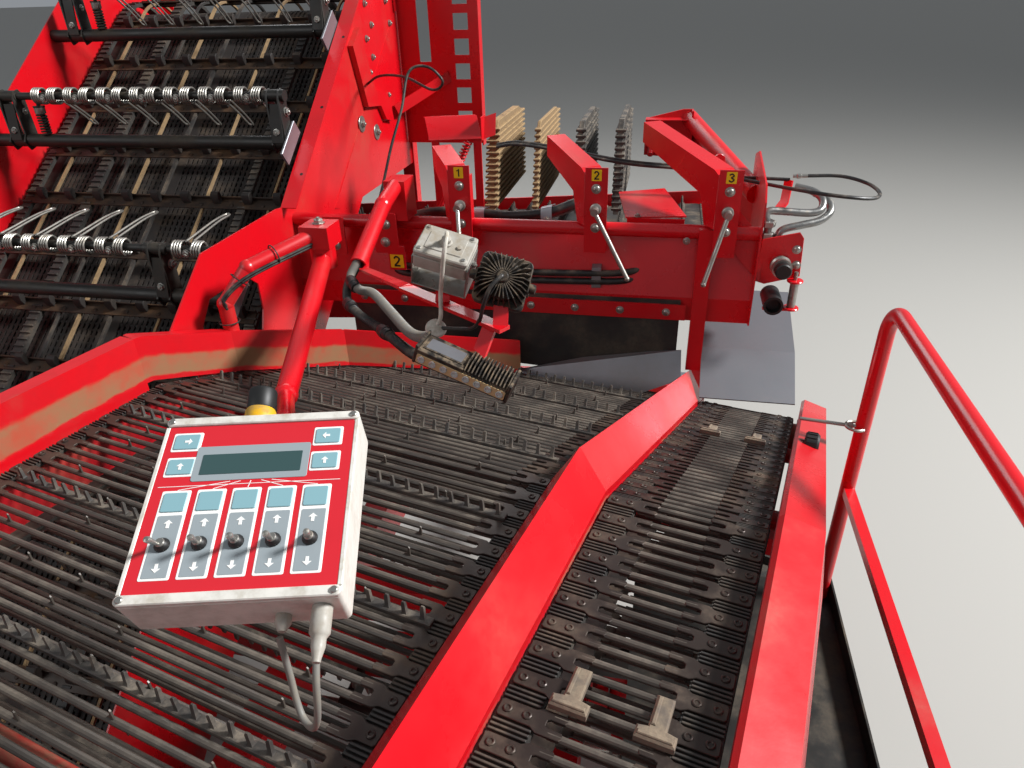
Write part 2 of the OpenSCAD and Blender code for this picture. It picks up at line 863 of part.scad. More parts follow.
// Rubber leaves that stand over the finger web, with a notched front edge
comb_low = 2440;
comb_top = 2850;
comb_xs = [300, 500, 690, 860];

module finger_combs() {
  front = finger_front_y + 120;
  notch = 46;
  color("#3b3834")
    for (x = comb_xs)
      translate([x, 0, 0])
        side_plate(x == comb_xs[0] ? -30 : -20, x == comb_xs[0] ? 30 : 20)
          difference() {
            polygon([
              [front, comb_low], [front + 60, comb_top - 60], [front + 110, comb_top], [finger_rear_y - 200, comb_top],
              [finger_rear_y - 110, comb_top - 80], [finger_rear_y - 90, comb_low]
            ]);
            for (z = [comb_low + 40:notch:comb_top - 80])
              translate([front + 60 * (z - comb_low) / (comb_top - 60 - comb_low) - 6, z])
                circle(r = 16, $fn = 12);
          }
}

beam_x0 = channel_left_x;
beam_x1 = deck_x1;

beam_tube_z = 2570;
post_x0 = 1190;
post_x1 = 1244;

module separator_beam() {
  end_x = beam_x1 - 6;
  color(red)
    difference() {
      union() {
        side_plate(beam_x0, beam_x1)
          polygon([
            [3530, 2240], [3530, 2330], [3590, 2540], [3700, 2540], [3700, 2480], [3640, 2470], [3600, 2330], [3600, 2240]
          ]);
        round_x(beam_x0, beam_x1, 3560, beam_tube_z, 50);
        // Strip that clamps the curtain
        box([-160, 3514, 2245], [post_x0 - 20, 3521.4, 2305]);
        // Upright at the divider's end
        box([post_x0, 3506, 2044], [post_x1, 3530.5, 2592]);
        box([post_x0, 3529, 2560], [post_x1, 3545, 2580]);
        // Plate at the left end, and the cover sheet over the hoses
        side_plate(end_x, beam_x1)
          polygon([
            [3512, 2240], [3512, 2690], [3560, 2740], [3860, 2790], [3960, 2760], [3960, 2560], [3760, 2400], [3640, 2240]
          ]);
        translate([0, 0, 2600])
          linear_extrude(panel_t)
            polygon([[930, 3595], [1146, 3628], [1062, 4025], [880, 3949]]);
        box([935, 3596, 2536], [1140, 3601, 2602]);
        // Housing of the belt's motor
        round_x(end_x, beam_x1 + 14, 3660, 2440, 150);
        round_x(beam_x1, beam_x1 + 96, 3660, 2440, 92);
        round_x(beam_x1 + 95, beam_x1 + 128, 3660, 2440, 54);
      }
      // Holes of the strip
      for (x = [-90:170:1100])
        translate([x, 3500, 2275])
          rotate([-90, 0, 0])
            cylinder(d = 13, h = 40);
    }
}

// Arms that set the finger belts: where each is along X, and how long its hood is
arm_xs = [340, 830, 1275];
hood_lens = [240, 380, 560];
arm_y = 3494;
crank_z = 2660;
crank_pin = 16;

// Hood of folded sheet, open below, that runs back from the arm's front plate
module hood(len) {
  top = 2795;
  rise = 0.14 * len;
  cheek = [[20, 2600], [20, top - 14], [50, top], [len, top + rise], [len, top + rise - 75], [120, top - 95], [80, 2600]];
  rotate([0, 0, 30]) {
    for (x = [-36, 31])
      side_plate(x, x + 5)
        polygon(cheek);
    side_plate(-32, 32)
      polygon([[20, top - 20], [20, top - 14], [50, top], [len, top + rise], [len, top + rise - 5], [51, top - 6]]);
    side_plate(-32, 32)
      polygon([[20, 2600], [80, 2600], [80, 2605], [20, 2605]]);
  }
}

module adjuster_arm(x, len) {
  translate([x, arm_y, 0])
    difference() {
      union() {
        box([-39, 0, 2500], [39, 6, 2800]);
        // Spacers between the plate and the hood
        box([-39, 1, 2600], [-33, 40, 2760]);
        box([28, 1, 2600], [34, 60, 2760]);
        hood(len);
      }
      translate([0, -1, crank_z])
        rotate([-90, 0, 0])
          cylinder(d = crank_pin + 0.1, h = 8);
    }
}

module adjuster_arms() {
  color(red)
    for (k = [0:2])
      adjuster_arm(arm_xs[k], hood_lens[k]);
}

// Crank on the arm at x: its pin turns in the front plate, and its lever ends at the given offset
module crank(x, lever) {
  color(steel)
    translate([x, arm_y - 54, crank_z]) {
      rotate([-90, 0, 0])
        cylinder(d = 26, h = 46);
      rotate([-90, 0, 0])
        cylinder(d = crank_pin, h = 76);
      rod_between([0, 10, 0], lever, 16);
      translate(lever)
        sphere(d = 19);
    }
}

module crank_1() {
  crank(arm_xs[0], [22, -62, -108]);
}

module crank_2() {
  crank(arm_xs[1], [125, -40, -218]);
}

module crank_3() {
  crank(arm_xs[2], [-60, -44, -224]);
}

module curtain() {
  color("#1c1c1d")
    translate([0, 3529.7, 0])
      rotate([90, 0, 0])
        linear_extrude(8)
          polygon([[-150, 2060], [1150, 1975], [1150, 2320], [-150, 2320]]);
}

module chute_plate() {
  color("#9a9da0")
    translate([1245, 3560, 0])
      side_plate(0, 340)
        polygon([[-160, 1985], [-160, 1989], [0, 2120], [330, 2230], [330, 2226], [0, 2116]]);
}

// Sorting table, drawn along its own axis
web_top = table_z - rod_d / 2;
web_r = table_loop / 2;
web_path = [
  [table_front, web_top],
  [table_bend, web_top],
  [table_rear, web_top - fall_run * tan(table_fall)],
  [table_rear - table_loop * sin(table_fall), web_top - fall_run * tan(table_fall) - table_loop * cos(table_fall)],
  [table_bend - table_loop * tan(table_fall / 2), web_top - table_loop],
  [table_front, web_top - table_loop]
];
plate_t = 8;
plate_under = table_loop + 30;

// Side view of a table plate, from over above the webs to under below them
module table_side(over, under, y0, y1) {
  polygon([
    [y0, table_z + over], [table_bend, table_z + over], [y1, surf_z(y1) + over],
    [y1, surf_z(y1) - under], [table_bend, table_z - under], [y0, table_z - under]
  ]);
}

module web(x0, x1, belt_w) {
  for (x = [x0, x1 - belt_w])
    belt(web_path, web_r, 15, x, x + belt_w);
  rods(web_path, web_r, link_pitch, x0 + belt_w / 2, x1 - belt_w / 2, rod_d, [0, rod_gap]);
}

module picking_web() {
  color(dark)
    in_table()
      web(pick_x0 + 12, pick_x1 - plate_t - 4, 40);
}

module trash_web() {
  color(dark)
    in_table()
      web(-trash_w + 4, -12, 46);
}

leg_w = 80;
bearer_h = 60;
bearer_ys = [-300, 1700];
leg_spots = [[right_beam_x, 0], [left_beam_x, 0], [right_beam_x, 1], [left_beam_x, 1]];

// Place of a leg along the machine, on the middle of its skewed bearer
function leg_y(x, k) =
  let (b = bearer_ys[k], xt = (x - table_pivot[0] - b * sin(table_yaw)) / cos(table_yaw))
  table_pivot[1] - xt * sin(table_yaw) + b * cos(table_yaw);
function bearer_top(k) = surf_z(bearer_ys[k]) - plate_under - (k == 0 ? 0 : 16);

module table_frame() {
  color(red)
    in_table() {
      // Side plates and the two plates under the divider
      for (x = [pick_x0 - plate_t, pick_x1 - plate_t, -trash_w - plate_t, 0])
        side_plate(x, x + plate_t)
          table_side(x == pick_x0 - plate_t || x == 0 ? -20 : -5, plate_under, table_front - 60, table_rear + 20);
      // Cross tubes between the strands
      for (y = [-700, 300, 1500, 2150])
        round_x(pick_x0 - 1, 1, y, surf_z(y) - web_r - 5, 50);
      // End rollers
      for (q = [[table_front + web_r, web_top - web_r], web_path[2] - web_r * [cos(table_fall) + sin(table_fall), cos(table_fall) - sin(table_fall)]])
        round_x(pick_x0 - 1, 1, q[0], q[1], 2 * web_r - 24);
    }
}

module table_legs() {
  color(red) {
    in_table()
      for (k = [0, 1])
        box([pick_x0 - plate_t, bearer_ys[k] - 40, bearer_top(k) - bearer_h], [plate_t, bearer_ys[k] + 40, bearer_top(k) - seat]);
    for (q = leg_spots)
      let (y = leg_y(q[0], q[1]))
        box([q[0] - leg_w / 2, y - leg_w / 2, beam_top_z], [q[0] + leg_w / 2, y + leg_w / 2, bearer_top(q[1]) - bearer_h + 1]);
  }
}

wall_h = 150;

// Plan of the side wall, which turns in over the picking web at the rear
wall_t2 = 5;
wall_plan = [[pick_x0 - plate_t - wall_t2 / 2, table_front - 60], [pick_x0 - plate_t - wall_t2 / 2, 1180], [-1682, 1475], [-1531, 1835], [-1040, 2270]];

module wall_strip(k, w, off) {
  a = wall_plan[k];
  v = wall_plan[k + 1] - a;
  translate(a)
    rotate([0, 0, atan2(v[1], v[0])])
      translate([0, off])
        square([norm(v), w]);
}

// Everything from lo to hi above the picking web
module above_web(lo, hi) {
  side_plate(-2000, 200)
    polygon([
      [table_front - 60, table_z + hi], [table_bend, table_z + hi], [table_rear + 20, surf_z(table_rear + 20) + hi],
      [table_rear + 20, surf_z(table_rear + 20) + lo], [table_bend, table_z + lo], [table_front - 60, table_z + lo]
    ]);
}

module table_wall() {
  color(red)
    difference() {
      table_wall_sheets();
      translate([post_foot[0], post_foot[1], 2000])
        cylinder(d = post_d + 2 * seat, h = 1000);
    }
}

module table_wall_sheets() {
  in_table() {
      // Upright sheet, low beside the web and clear of its rods over the web
      intersection() {
        union() {
          translate([0, 0, 1000])
            linear_extrude(2000)
              for (k = [1:3])
                wall_strip(k, wall_t2, -wall_t2 / 2);
          translate([0, 0, 1000])
            linear_extrude(2000)
              for (k = [2:3])
                translate(wall_plan[k])
                  circle(d = wall_t2);
        }
        above_web(9, wall_h);
      }
      intersection() {
        translate([0, 0, 1000])
          linear_extrude(2000)
            wall_strip(0, wall_t2, -wall_t2 / 2);
        above_web(-60, wall_h);
      }
      // Folded flange along the top
      intersection() {
        translate([0, 0, 1000])
          linear_extrude(2000)
            union() {
              wall_strip(0, 50, 0);
              wall_strip(1, 50, 0);
              wall_strip(2, 20, 0);
              wall_strip(3, 20, 0);
            }
        above_web(wall_h - wall_t2, wall_h);
      }
    }
}

// Bent sheet laid along the webs from y0 to y1; its cross-section is in X and in height above the webs.
// The falling run is a little lower than the flat run where the two are seamed
seam_shrink = 0.985;
seam_reach = 60;

module along(y0, y1) {
  run = (y1 - table_bend) / cos(table_fall);
  translate([0, table_bend, table_z]) {
    rotate([90, 0, 0])
      linear_extrude(table_bend - y0)
        children();
    intersection() {
      rotate([-table_fall, 0, 0])
        translate([0, run, 0])
          rotate([90, 0, 0])
            linear_extrude(run + seam_reach)
              scale([1, seam_shrink * cos(table_fall)])
                children();
      translate([-2500, 0, -2000])
        cube([5000, 5000, 4000]);
    }
  }
}

module divider() {
  x0 = pick_x1 - plate_t + 2;
  x1 = pick_x1 + divider_w - 2;
  mid = (x0 + x1) / 2;
  color(red)
    in_table()
      along(table_front - 60, table_rear - 20)
        polygon([
          [x0, -3], [x0, 14], [mid, 115], [x1, 14], [x1, -3], [x1 - 4, -3], [x1 - 4, 12],
          [mid, 109], [x0 + 4, 12], [x0 + 4, -3]
        ]);
}

module table_rail() {
  color(red)
    in_table()
      along(table_front - 60, table_rear + 20)
        polygon([
          [2, -17], [2, 56], [12, 66], [90, 46], [112, -120], [108, -121], [86, 42], [13, 61], [6, 54], [6, -17]
        ]);
}

// Bunker with a sloping right side over the digging web
tub_x0 = -900;
tub_x1 = 1290;
tub_floor_z = beam_top_z + 60;
tub_rear_y = 250;
tub_t = 5;

module tub_section(off) {
  polygon([
    [-150 + off, tub_floor_z + off], [tub_x1 - off, tub_floor_z + off], [tub_x1 - off, bunker_top_z + 1],
    [tub_x0 + off, bunker_top_z + 1], [tub_x0 + off, 1950 + 0.4 * off], [-150 + off, 1300 + 0.4 * off]
  ]);
}

module bunker_tub() {
  color(red) {
    difference() {
      translate([0, bunker_front_y, 0])
        rotate([90, 0, 0])
          mirror([0, 0, 1])
            linear_extrude(tub_rear_y - bunker_front_y)
              tub_section(0);
      translate([0, bunker_front_y + tub_t, 0])
        rotate([90, 0, 0])
          mirror([0, 0, 1])
            linear_extrude(tub_rear_y - bunker_front_y - 2 * tub_t)
              tub_section(tub_t);
      // Top plane, the low rear part under the table and the way to the elevator
      box([-2000, bunker_front_y - 1, bunker_top_z], [2000, 1000, 4000]);
      box([-2000, -560, 2080], [2000, 1000, 4000]);
      box([tub_x1 - 20, bunker_front_y + 140, 1330], [tub_x1 + 10, -700, 4000]);
    }
    // Bearers on the main beams
    for (y = [bunker_front_y + 60, -1500, -200])
      box([right_beam_out, y, beam_top_z], [tub_x1, y + 100, tub_floor_z + 1]);
  }
}

module bunker_floor() {
  z = tub_floor_z + tub_t;
  color(dark) {
    box([-60, bunker_front_y + 60, z], [tub_x1 - 60, -150, z + 24]);
    for (x = [-20:130:tub_x1 - 90])
      box([x, bunker_front_y + 70, z + 23], [x + 30, -160, z + 55]);
  }
}

elev_pivot = [tub_x1 + 70, tub_floor_z + 90];

module discharge_elevator() {
  x = elev_pivot[0];
  y0 = bunker_front_y + 160;
  y1 = -720;
  color(red) {
    for (y = [y0, y1 - 12])
      translate([0, y, 0])
        box([x - 45, 0, elev_pivot[1] - 45], [x + 150, 12, bunker_top_z]);
    box([x + 138, y0, elev_pivot[1] + 60], [x + 150, y1, bunker_top_z]);
    for (z = [elev_pivot[1] + 500, elev_pivot[1] + 1200])
      box([x - 10, y0, z], [x + 30, y1, z + 40]);
    // Hinge tube
    translate([x, y0, elev_pivot[1]])
      rotate([-90, 0, 0])
        cylinder(d = 60, h = y1 - y0);
  }
}

// Picking platform on the left side
plat_t = 30;
plat_y0 = 350;
plat_y1 = 2980;
plat_x0 = 1060;

module platform() {
  color(red) {
    difference() {
      union() {
        box([plat_x0, plat_y0, platform_z - plat_t], [platform_x, plat_y1, platform_z]);
        box([platform_x - 6, plat_y0 + 560, platform_z - 70], [platform_x, plat_y1, platform_z + 60]);
        for (y = [plat_y0 + 60, 1500, plat_y1 - 420]) {
          box([left_beam_x - 40, y, platform_z - 110], [platform_x - 10, y + 80, platform_z - plat_t + 1]);
          box([left_beam_x - 40, y, beam_top_z], [left_beam_x + 40, y + 80, platform_z - 100]);
        }
      }
      // Gap for the ladder
      box([1395, plat_y0 - 1, platform_z - 80], [platform_x + 1, plat_y0 + 560, platform_z + 100]);
    }
  }
}

rail_x = 1677;
rail_top_z = 2583;

module hoop_rail() {
  y1 = 2930;
  y0 = 1000;
  r = 90;
  color(red) {
    translate([rail_x, 0, 0]) {
      for (y = [y0, y1])
        translate([0, y, platform_z])
          cylinder(d = rail_d, h = rail_top_z - platform_z - r);
      for (q = [[y0 + r, 90], [y1 - r, 0]])
        translate([0, q[0], rail_top_z - r])
          rotate([90, 0, 90])
            rotate([0, 0, q[1]])
              rotate_extrude(angle = 90)
                translate([r, 0])
                  circle(d = rail_d);
      translate([0, y0 + r, rail_top_z])
        rotate([-90, 0, 0])
          cylinder(d = rail_d, h = y1 - y0 - 2 * r);
    }
    box([rail_x - 15, y0, 1960], [rail_x + 15, y1, 1990]);
  }
}

ladder_pivot = [1680, 1470];

module ladder() {
  color(red) {
    for (y = [plat_y0 + 30, plat_y0 + 500])
      box([1660, y, 420], [1700, y + 25, 1480]);
    for (z = [480, 780, 1080, 1380])
      box([1500, plat_y0 + 54, z], [1699, plat_y0 + 501, z + 30]);
    // Hinge tube
    translate([ladder_pivot[0], plat_y0 + 54, ladder_pivot[1]])
      rotate([-90, 0, 0])
        cylinder(d = 30, h = 448);
  }
}

// Post, bracket and arms of the control gear
post_foot = [-268, 2871, 2285];
post_d = 48;
bracket = [-50, 3150, 2610];
arm_elbow = [97, 2526, 2400];
box_centre = [646, 1553, 2879];
box_size = [220, 224, 60];
box_tip = 22;
box_turn = 14;

module in_box() {
  translate(box_centre)
    rotate([box_tip, 0, box_turn])
      children();
}

// Where the arm's last stub starts, behind the control box
stub_end = box_centre - 150 * [sin(box_tip) * sin(box_turn), -sin(box_tip) * cos(box_turn), cos(box_tip)];

module arm_post() {
  post_top = [-268, 2871, 2500];
  post_bend = [-205, 2935, 2600];
  color(red)
    difference() {
      union() {
        rod_between(post_foot, post_top, post_d);
        // Foot plate, fixed to the tower wall in front of its cut-out
        box([channel_left_x + seat, post_foot[1] - 81, post_foot[2]], [post_foot[0] - 32, post_foot[1] - 30, post_foot[2] + 12]);
        box([channel_left_x + seat, post_foot[1] - 31, post_foot[2]], [post_foot[0], post_foot[1] + 24, post_foot[2] + 12]);
        translate(post_top)
          sphere(d = post_d + 4);
        rod_between(post_top, post_bend, post_d);
        translate(post_bend)
          sphere(d = post_d + 4);
        rod_between(post_bend, bracket + [0, 0, 45], post_d);
        box(bracket - [50, 50, 0], bracket + [50, 50, 72]);
      }
      translate(bracket - [0, 0, 1])
        cylinder(d = 24.15, h = 100);
    }
}

module control_arm() {
  a = bracket - [0, 0, 40];
  color(red) {
    rod_between(a, arm_elbow, 60);
    translate(arm_elbow)
      sphere(d = 66);
    rod_between(arm_elbow, stub_end, 42);
    in_box()
      translate([0, 0, -box_size[2] - 90])
        cylinder(d = 50, h = 88);
    in_box()
      translate([-45, -45, -box_size[2] - 6 - seat])
        cube([90, 90, 6]);
    // Pivot block and pin under the bracket
    translate(bracket - [0, 0, 76])
      cylinder(d = 84, h = 75);
    translate(bracket - [0, 0, 10])
      cylinder(d = 24, h = 90);
  }
}

module control_box() {
  color("#b7b9ba")
    in_box() {
      translate([-box_size[0] / 2, -box_size[1] / 2, -box_size[2]])
        cube(box_size);
      // Plug and gland on the underside
      translate([88, -box_size[1] / 2 + 1, -22])
        rotate([90, 0, 0]) {
          cylinder(d = 20, h = 30);
          cylinder(d = 14, h = 43);
        }
      translate([45, -box_size[1] / 2 + 1, -40])
        rotate([90, 0, 0])
          cylinder(d = 15, h = 14);
    }
}

// Places and turns of the junction box's lid, the square lamp's back and the long lamp's top
lid_at = [[630, 2371, 2893], [23.2, 14.7, 0]];
square_lamp_at = [[757, 2319, 2847], [51.9, 13.6, 1.5]];
long_lamp_at = [[708, 2224, 2716], [2.1, 19.9, -5]];

module placed(f) {
  translate(f[0])
    rotate(f[1])
      children();
}

// Box hanging down from its own face
module hung(size) {
  translate([-size[0] / 2, -size[1] / 2, -size[2]])
    cube(size);
}

module flat_bar(a, b, w, t) {
  v = b - a;
  l = norm(v);
  translate(a)
    rotate([0, acos(v[2] / l), atan2(v[1], v[0])])
      translate([-t / 2, -w / 2, 0])
        cube([t, w, l]);
}

lid_size = [115, 85, 55];
square_lamp_size = [100, 100, 45];
long_lamp_size = [205, 70, 45];
bracket_drop = 102;

module lamp_arm() {
  root = [94, 3500, 2720];
  knee = [94, 3368, 2688];
  open_end = [100, 3085, 2570];
  strap_w = 30;
  strap_t = 8;
  strap_knee = [504, 2433, 2768];
  strap_end = [768, 2275, 2754];
  color(red)
    difference() {
      union() {
        // Foot on the separator beam's top tube
        box([54, 3490, 2595.2], [134, 3600, 2740]);
        rod_between(root, knee, 55);
        translate(knee)
          sphere(d = 60);
        rod_between(knee, open_end, 55);
        flat_bar([97, 3150, 2573], [130, 3060, 2560], strap_w, strap_t);
        flat_bar([126, 3072, 2558], strap_knee + [6, -2, 1], strap_w, strap_t);
        flat_bar(strap_knee, strap_end, strap_w, strap_t);
        // Posts of the junction box and the lamps on the strap
        flat_bar([612, 2368, 2760], [607, 2412, 2812], strap_w, strap_t);
        flat_bar([757, 2282, 2750], [751, 2345, 2832], strap_w, strap_t);
        flat_bar([735, 2295, 2754], [718, 2235, 2700], strap_w, strap_t);
      }
      placed(lid_at)
        hung(lid_size + [8, 2, bracket_drop - lid_size[2] + seat]);
      placed(square_lamp_at)
        hung(square_lamp_size + [2, 2, 1] * seat);
      placed(long_lamp_at)
        hung(long_lamp_size + [2, 2, 1] * seat);
      // The tube is open at its end, where the leads go in
      rod_between(open_end + [1, -20, -8], open_end + [-1, 60, 25], 43);
    }
}

// Cast box with a lid, hung in a bent bracket
module junction_box() {
  t = 3;
  color("#b7b9ba")
    placed(lid_at) {
      hung([lid_size[0], lid_size[1], 12]);
      translate([0, 0, -11])
        hung([lid_size[0] - 6, lid_size[1] - 6, lid_size[2] - 11]);
      for (x = [-lid_size[0] / 2 + 0.1, lid_size[0] / 2 - 0.1 - t])
        translate([x, -30, -bracket_drop])
          cube([t, 60, bracket_drop - 20]);
      translate([-lid_size[0] / 2 + 0.1, -30, -bracket_drop])
        cube([lid_size[0] - 0.2, 60, t]);
    }
}

module work_lamps() {
  color("#2a2a2b") {
    // Square lamp: face ring, round body with cooling fins
    placed(square_lamp_at) {
      translate([0, 0, -26])
        hung([square_lamp_size[0], square_lamp_size[1], square_lamp_size[2] - 26]);
      translate([0, 0, -27])
        cylinder(d = 46, h = 27);
      for (a = [0:20:340])
        rotate(a)
          translate([20, -1.5, -27])
            cube([28, 3, 26]);
    }
    // Long lamp: lens housing with cooling fins across its back
    placed(long_lamp_at) {
      translate([0, -14, 0])
        hung([long_lamp_size[0], 42, long_lamp_size[2]]);
      translate([0, 5, -20])
        hung([long_lamp_size[0] - 8, 60, long_lamp_size[2] - 20]);
      for (x = [-96:12:96])
        translate([x - 1.5, 6, -21])
          cube([3, 29, 20]);
    }
  }
}

// Round hose along a route: a smooth curve through the points, and a ring of sides at each step
function unit(v) = v / norm(v);
function route_point(r, i, t) =
  let (n = len(r) - 1, a = i > 0 ? r[i - 1] : 2 * r[0] - r[1], b = r[i], c = r[i + 1], d = i + 2 <= n ? r[i + 2] : 2 * r[n] - r[n - 1])
    0.5 * (2 * b + (c - a) * t + (2 * a - 5 * b + 4 * c - d) * t * t + (3 * b - a - 3 * c + d) * t * t * t);
function smooth_route(r, k) = concat([for (i = [0:len(r) - 2], j = [0:k - 1]) route_point(r, i, j / k)], [r[len(r) - 1]]);

module hose(route, d, steps = 3, sides = 8, ref = [0, 0, 1]) {
  q = smooth_route(route, steps);
  last = len(q) - 1;
  points = [
    for (i = [0:last])
      let (t = unit(q[min(i + 1, last)] - q[max(i - 1, 0)]), u = unit(cross(t, ref)), v = cross(t, u))
        for (k = [0:sides - 1])
          q[i] + d / 2 * (cos(360 * k / sides) * u + sin(360 * k / sides) * v)
  ];
  faces = concat(
    [[for (k = [0:sides - 1]) k]],
    [
      for (i = [0:last - 1], k = [0:sides - 1], half = [0, 1])
        let (a = i * sides + k, b = i * sides + (k + 1) % sides)
          half == 0 ? [a, a + sides, b] : [b, a + sides, b + sides]
    ],
    [[for (k = [sides - 1:-1:0]) last * sides + k]]
  );
  polyhedron(points, faces);
}

// Routes of the hoses behind the separator beam, of the long hose to the outer arm and of the lamps' leads
hose_routes = [
  [[-150, 3790, 2505], [20, 3752, 2530], [180, 3682, 2580], [360, 3654, 2590], [470, 3652, 2580], [620, 3656, 2594], [730, 3690, 2625], [800, 3760, 2650]],
  [[-150, 3830, 2460], [20, 3800, 2480], [190, 3742, 2552], [360, 3706, 2564], [500, 3704, 2561], [640, 3708, 2576], [750, 3745, 2612], [810, 3800, 2640]]
];
long_hose = [[392, 3880, 2790], [480, 3890, 2798], [640, 3900, 2775], [830, 3900, 2740], [960, 3905, 2722]];
lamp_leads = [
  [[93, 3092, 2574], [101, 3015, 2553], [160, 2935, 2546], [227, 2886, 2556], [350, 2700, 2588], [478, 2508, 2619], [560, 2400, 2664], [598, 2345, 2706]],
  [[96, 3092, 2567], [95, 3005, 2536], [132, 2905, 2518], [220, 2790, 2528], [368, 2615, 2562], [500, 2450, 2594], [590, 2350, 2632]]
];

module hoses() {
  color("#1d1d1e") {
    for (r = hose_routes)
      hose(r, 34);
    hose(long_hose, 14);
    for (r = lamp_leads)
      hose(r, 26);
  }
}

// Lead of the control box, from its plug down and back up to its gland
box_lead = [
  [761, 1443, 2791], [765, 1428, 2774], [766, 1420, 2752], [763, 1418, 2730], [756, 1420, 2714], [746, 1426, 2706],
  [735, 1434, 2708], [727, 1442, 2722], [721, 1450, 2745], [716, 1456, 2770], [712, 1461, 2787]
];

module box_cable() {
  color("#77756f")
    hose(box_lead, 7, 2, 8, [1, 0.6, 0]);
}

module light_bar() {
  color("#c4c6c6") {
    box([-1600, frame_rear_y, 900], [deck_x1, frame_rear_y + 60, 1040]);
    for (x = [-1500, 1200])
      box([x, frame_rear_y + 59, 900], [x + 200, 5375, 1040]);
  }
}

chassis_frame();
axle_beam();
steering_cylinder();
tie_rod();
knuckle_left();
knuckle_right();
rim_left();
rim_right();
tyre_left();
tyre_right();
drawbar();
tow_eye();
jack_leg();
digger_frame();
shares();
digging_web();
disc_right();
disc_middle();
disc_left();
ridge_roller_right();
ridge_roller_left();
tower_wall();
rear_panel();
outer_wall();
channel_shafts();
main_web();
haulm_web();
haulm_combs();
finger_web();
finger_frame();
finger_combs();
separator_beam();
adjuster_arms();
crank_1();
crank_2();
crank_3();
curtain();
chute_plate();
table_frame();
table_legs();
table_wall();
divider();
table_rail();
picking_web();
trash_web();
bunker_tub();
bunker_floor();
discharge_elevator();
platform();
hoop_rail();
ladder();
arm_post();
control_arm();
control_box();
box_cable();
lamp_arm();
junction_box();
work_lamps();
hoses();
light_bar();
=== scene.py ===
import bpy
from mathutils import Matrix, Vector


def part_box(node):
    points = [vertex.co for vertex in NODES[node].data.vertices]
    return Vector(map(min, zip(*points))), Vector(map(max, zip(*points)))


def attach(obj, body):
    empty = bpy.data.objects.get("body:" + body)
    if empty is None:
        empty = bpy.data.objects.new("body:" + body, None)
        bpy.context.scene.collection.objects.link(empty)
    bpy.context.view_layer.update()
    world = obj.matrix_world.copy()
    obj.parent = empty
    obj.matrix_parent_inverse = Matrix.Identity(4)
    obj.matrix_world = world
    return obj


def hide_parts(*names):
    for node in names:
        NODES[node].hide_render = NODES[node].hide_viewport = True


bl_info = {
    "name": "Trailed Potato Harvester",
    "version": (1, 0, 0),
    "blender": (4, 5, 0),
    "location": "View3D > Sidebar > Harvester",
    "description": "Dresses the packed model of a trailed potato harvester with its pieces and finishes",
    "category": "Object",
}

import bpy
import numpy as np
from bpy.props import FloatProperty, FloatVectorProperty, IntProperty, PointerProperty
from mathutils import Matrix

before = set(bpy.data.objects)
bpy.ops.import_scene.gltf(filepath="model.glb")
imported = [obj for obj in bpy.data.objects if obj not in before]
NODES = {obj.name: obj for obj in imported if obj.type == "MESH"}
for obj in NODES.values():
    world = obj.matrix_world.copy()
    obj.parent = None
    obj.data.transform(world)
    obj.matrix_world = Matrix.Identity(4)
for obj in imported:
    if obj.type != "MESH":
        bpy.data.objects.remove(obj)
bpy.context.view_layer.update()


# ---------------------------------------------------------------- places, in metres and degrees
# The sorting table: the point about which it is turned in plan, by how much, and the height of its plane
TABLE_PIVOT = (1.055, 1.025)
TABLE_YAW = 13.0
TABLE_Z = 2.367
# Its webs along its own Y: their front end, the bend behind which they fall, their rear end, and the fall
TABLE_FRONT = -1.25
TABLE_BEND = 1.2
TABLE_REAR = 2.48
TABLE_FALL = 19.4
# The channel: its slope, and the Y and Z of its foot
CHANNEL_ANGLE = 36.5
CHANNEL_FOOT = (1.0, 0.62)
# Middle of a face, or the end of the cross belt, and its turns about X, Y and Z
FINGER_AT = ((-1.64, 0, 2.12), (0, -3.5, 0))
BOX_AT = ((0.646, 1.553, 2.879), (22, 0, 14))
LID_AT = ((0.63, 2.371, 2.893), (23.2, 14.7, 0))
SQUARE_LAMP_AT = ((0.757, 2.319, 2.847), (51.9, 13.6, 1.5))
LONG_LAMP_AT = ((0.708, 2.224, 2.716), (2.1, 19.9, -5))
# The camera recovered from the photograph, in the table's frame. The columns of its rows point right, down and
# ahead
CAMERA_AT = (1.055, 1.025, 3.35)
CAMERA_ROWS = ((0.90930635, 0.18137246, -0.37452102), (0.41519193, -0.45575017, 0.78734201),
               (-0.02788586, -0.87143319, -0.48972091))
CAMERA_TURN = -13.0
CAMERA_LENS = 24.96
# Ends of the tie rod between the rail and the hoop, and the foot of the rail's knob
TIE = ((1.507, 2.955, 2.197), (1.657, 2.93, 2.2))
KNOB = (1.49, 2.836, 2.19)


# ---------------------------------------------------------------- placing
def turn(degrees, axis):
    """4 by 4 matrix of a turn about a main axis."""
    return np.array(Matrix.Rotation(np.radians(degrees), 4, axis))


def move(at):
    """4 by 4 matrix of a shift."""
    m = np.eye(4)
    m[:3, 3] = at
    return m


def placed_at(at, turns=(0, 0, 0)):
    """4 by 4 matrix that turns about X, then Y, then Z, in degrees, and then shifts."""
    return move(at) @ turn(turns[2], "Z") @ turn(turns[1], "Y") @ turn(turns[0], "X")


def facing(points, normal, along):
    """A stack of 4 by 4 matrices: Z is the normal, X is the along direction made square to it, and the
    points are the origins."""
    points = np.atleast_2d(np.asarray(points, float))
    n = np.broadcast_to(np.asarray(normal, float), points.shape)
    n = n / np.linalg.norm(n, axis=1, keepdims=True)
    x = np.broadcast_to(np.asarray(along, float), points.shape)
    x = x - np.sum(x * n, axis=1, keepdims=True) * n
    x = x / np.linalg.norm(x, axis=1, keepdims=True)
    m = np.zeros((len(points), 4, 4))
    m[:, :3, 0], m[:, :3, 1], m[:, :3, 2], m[:, :3, 3] = x, np.cross(n, x), n, points
    m[:, 3, 3] = 1
    return m


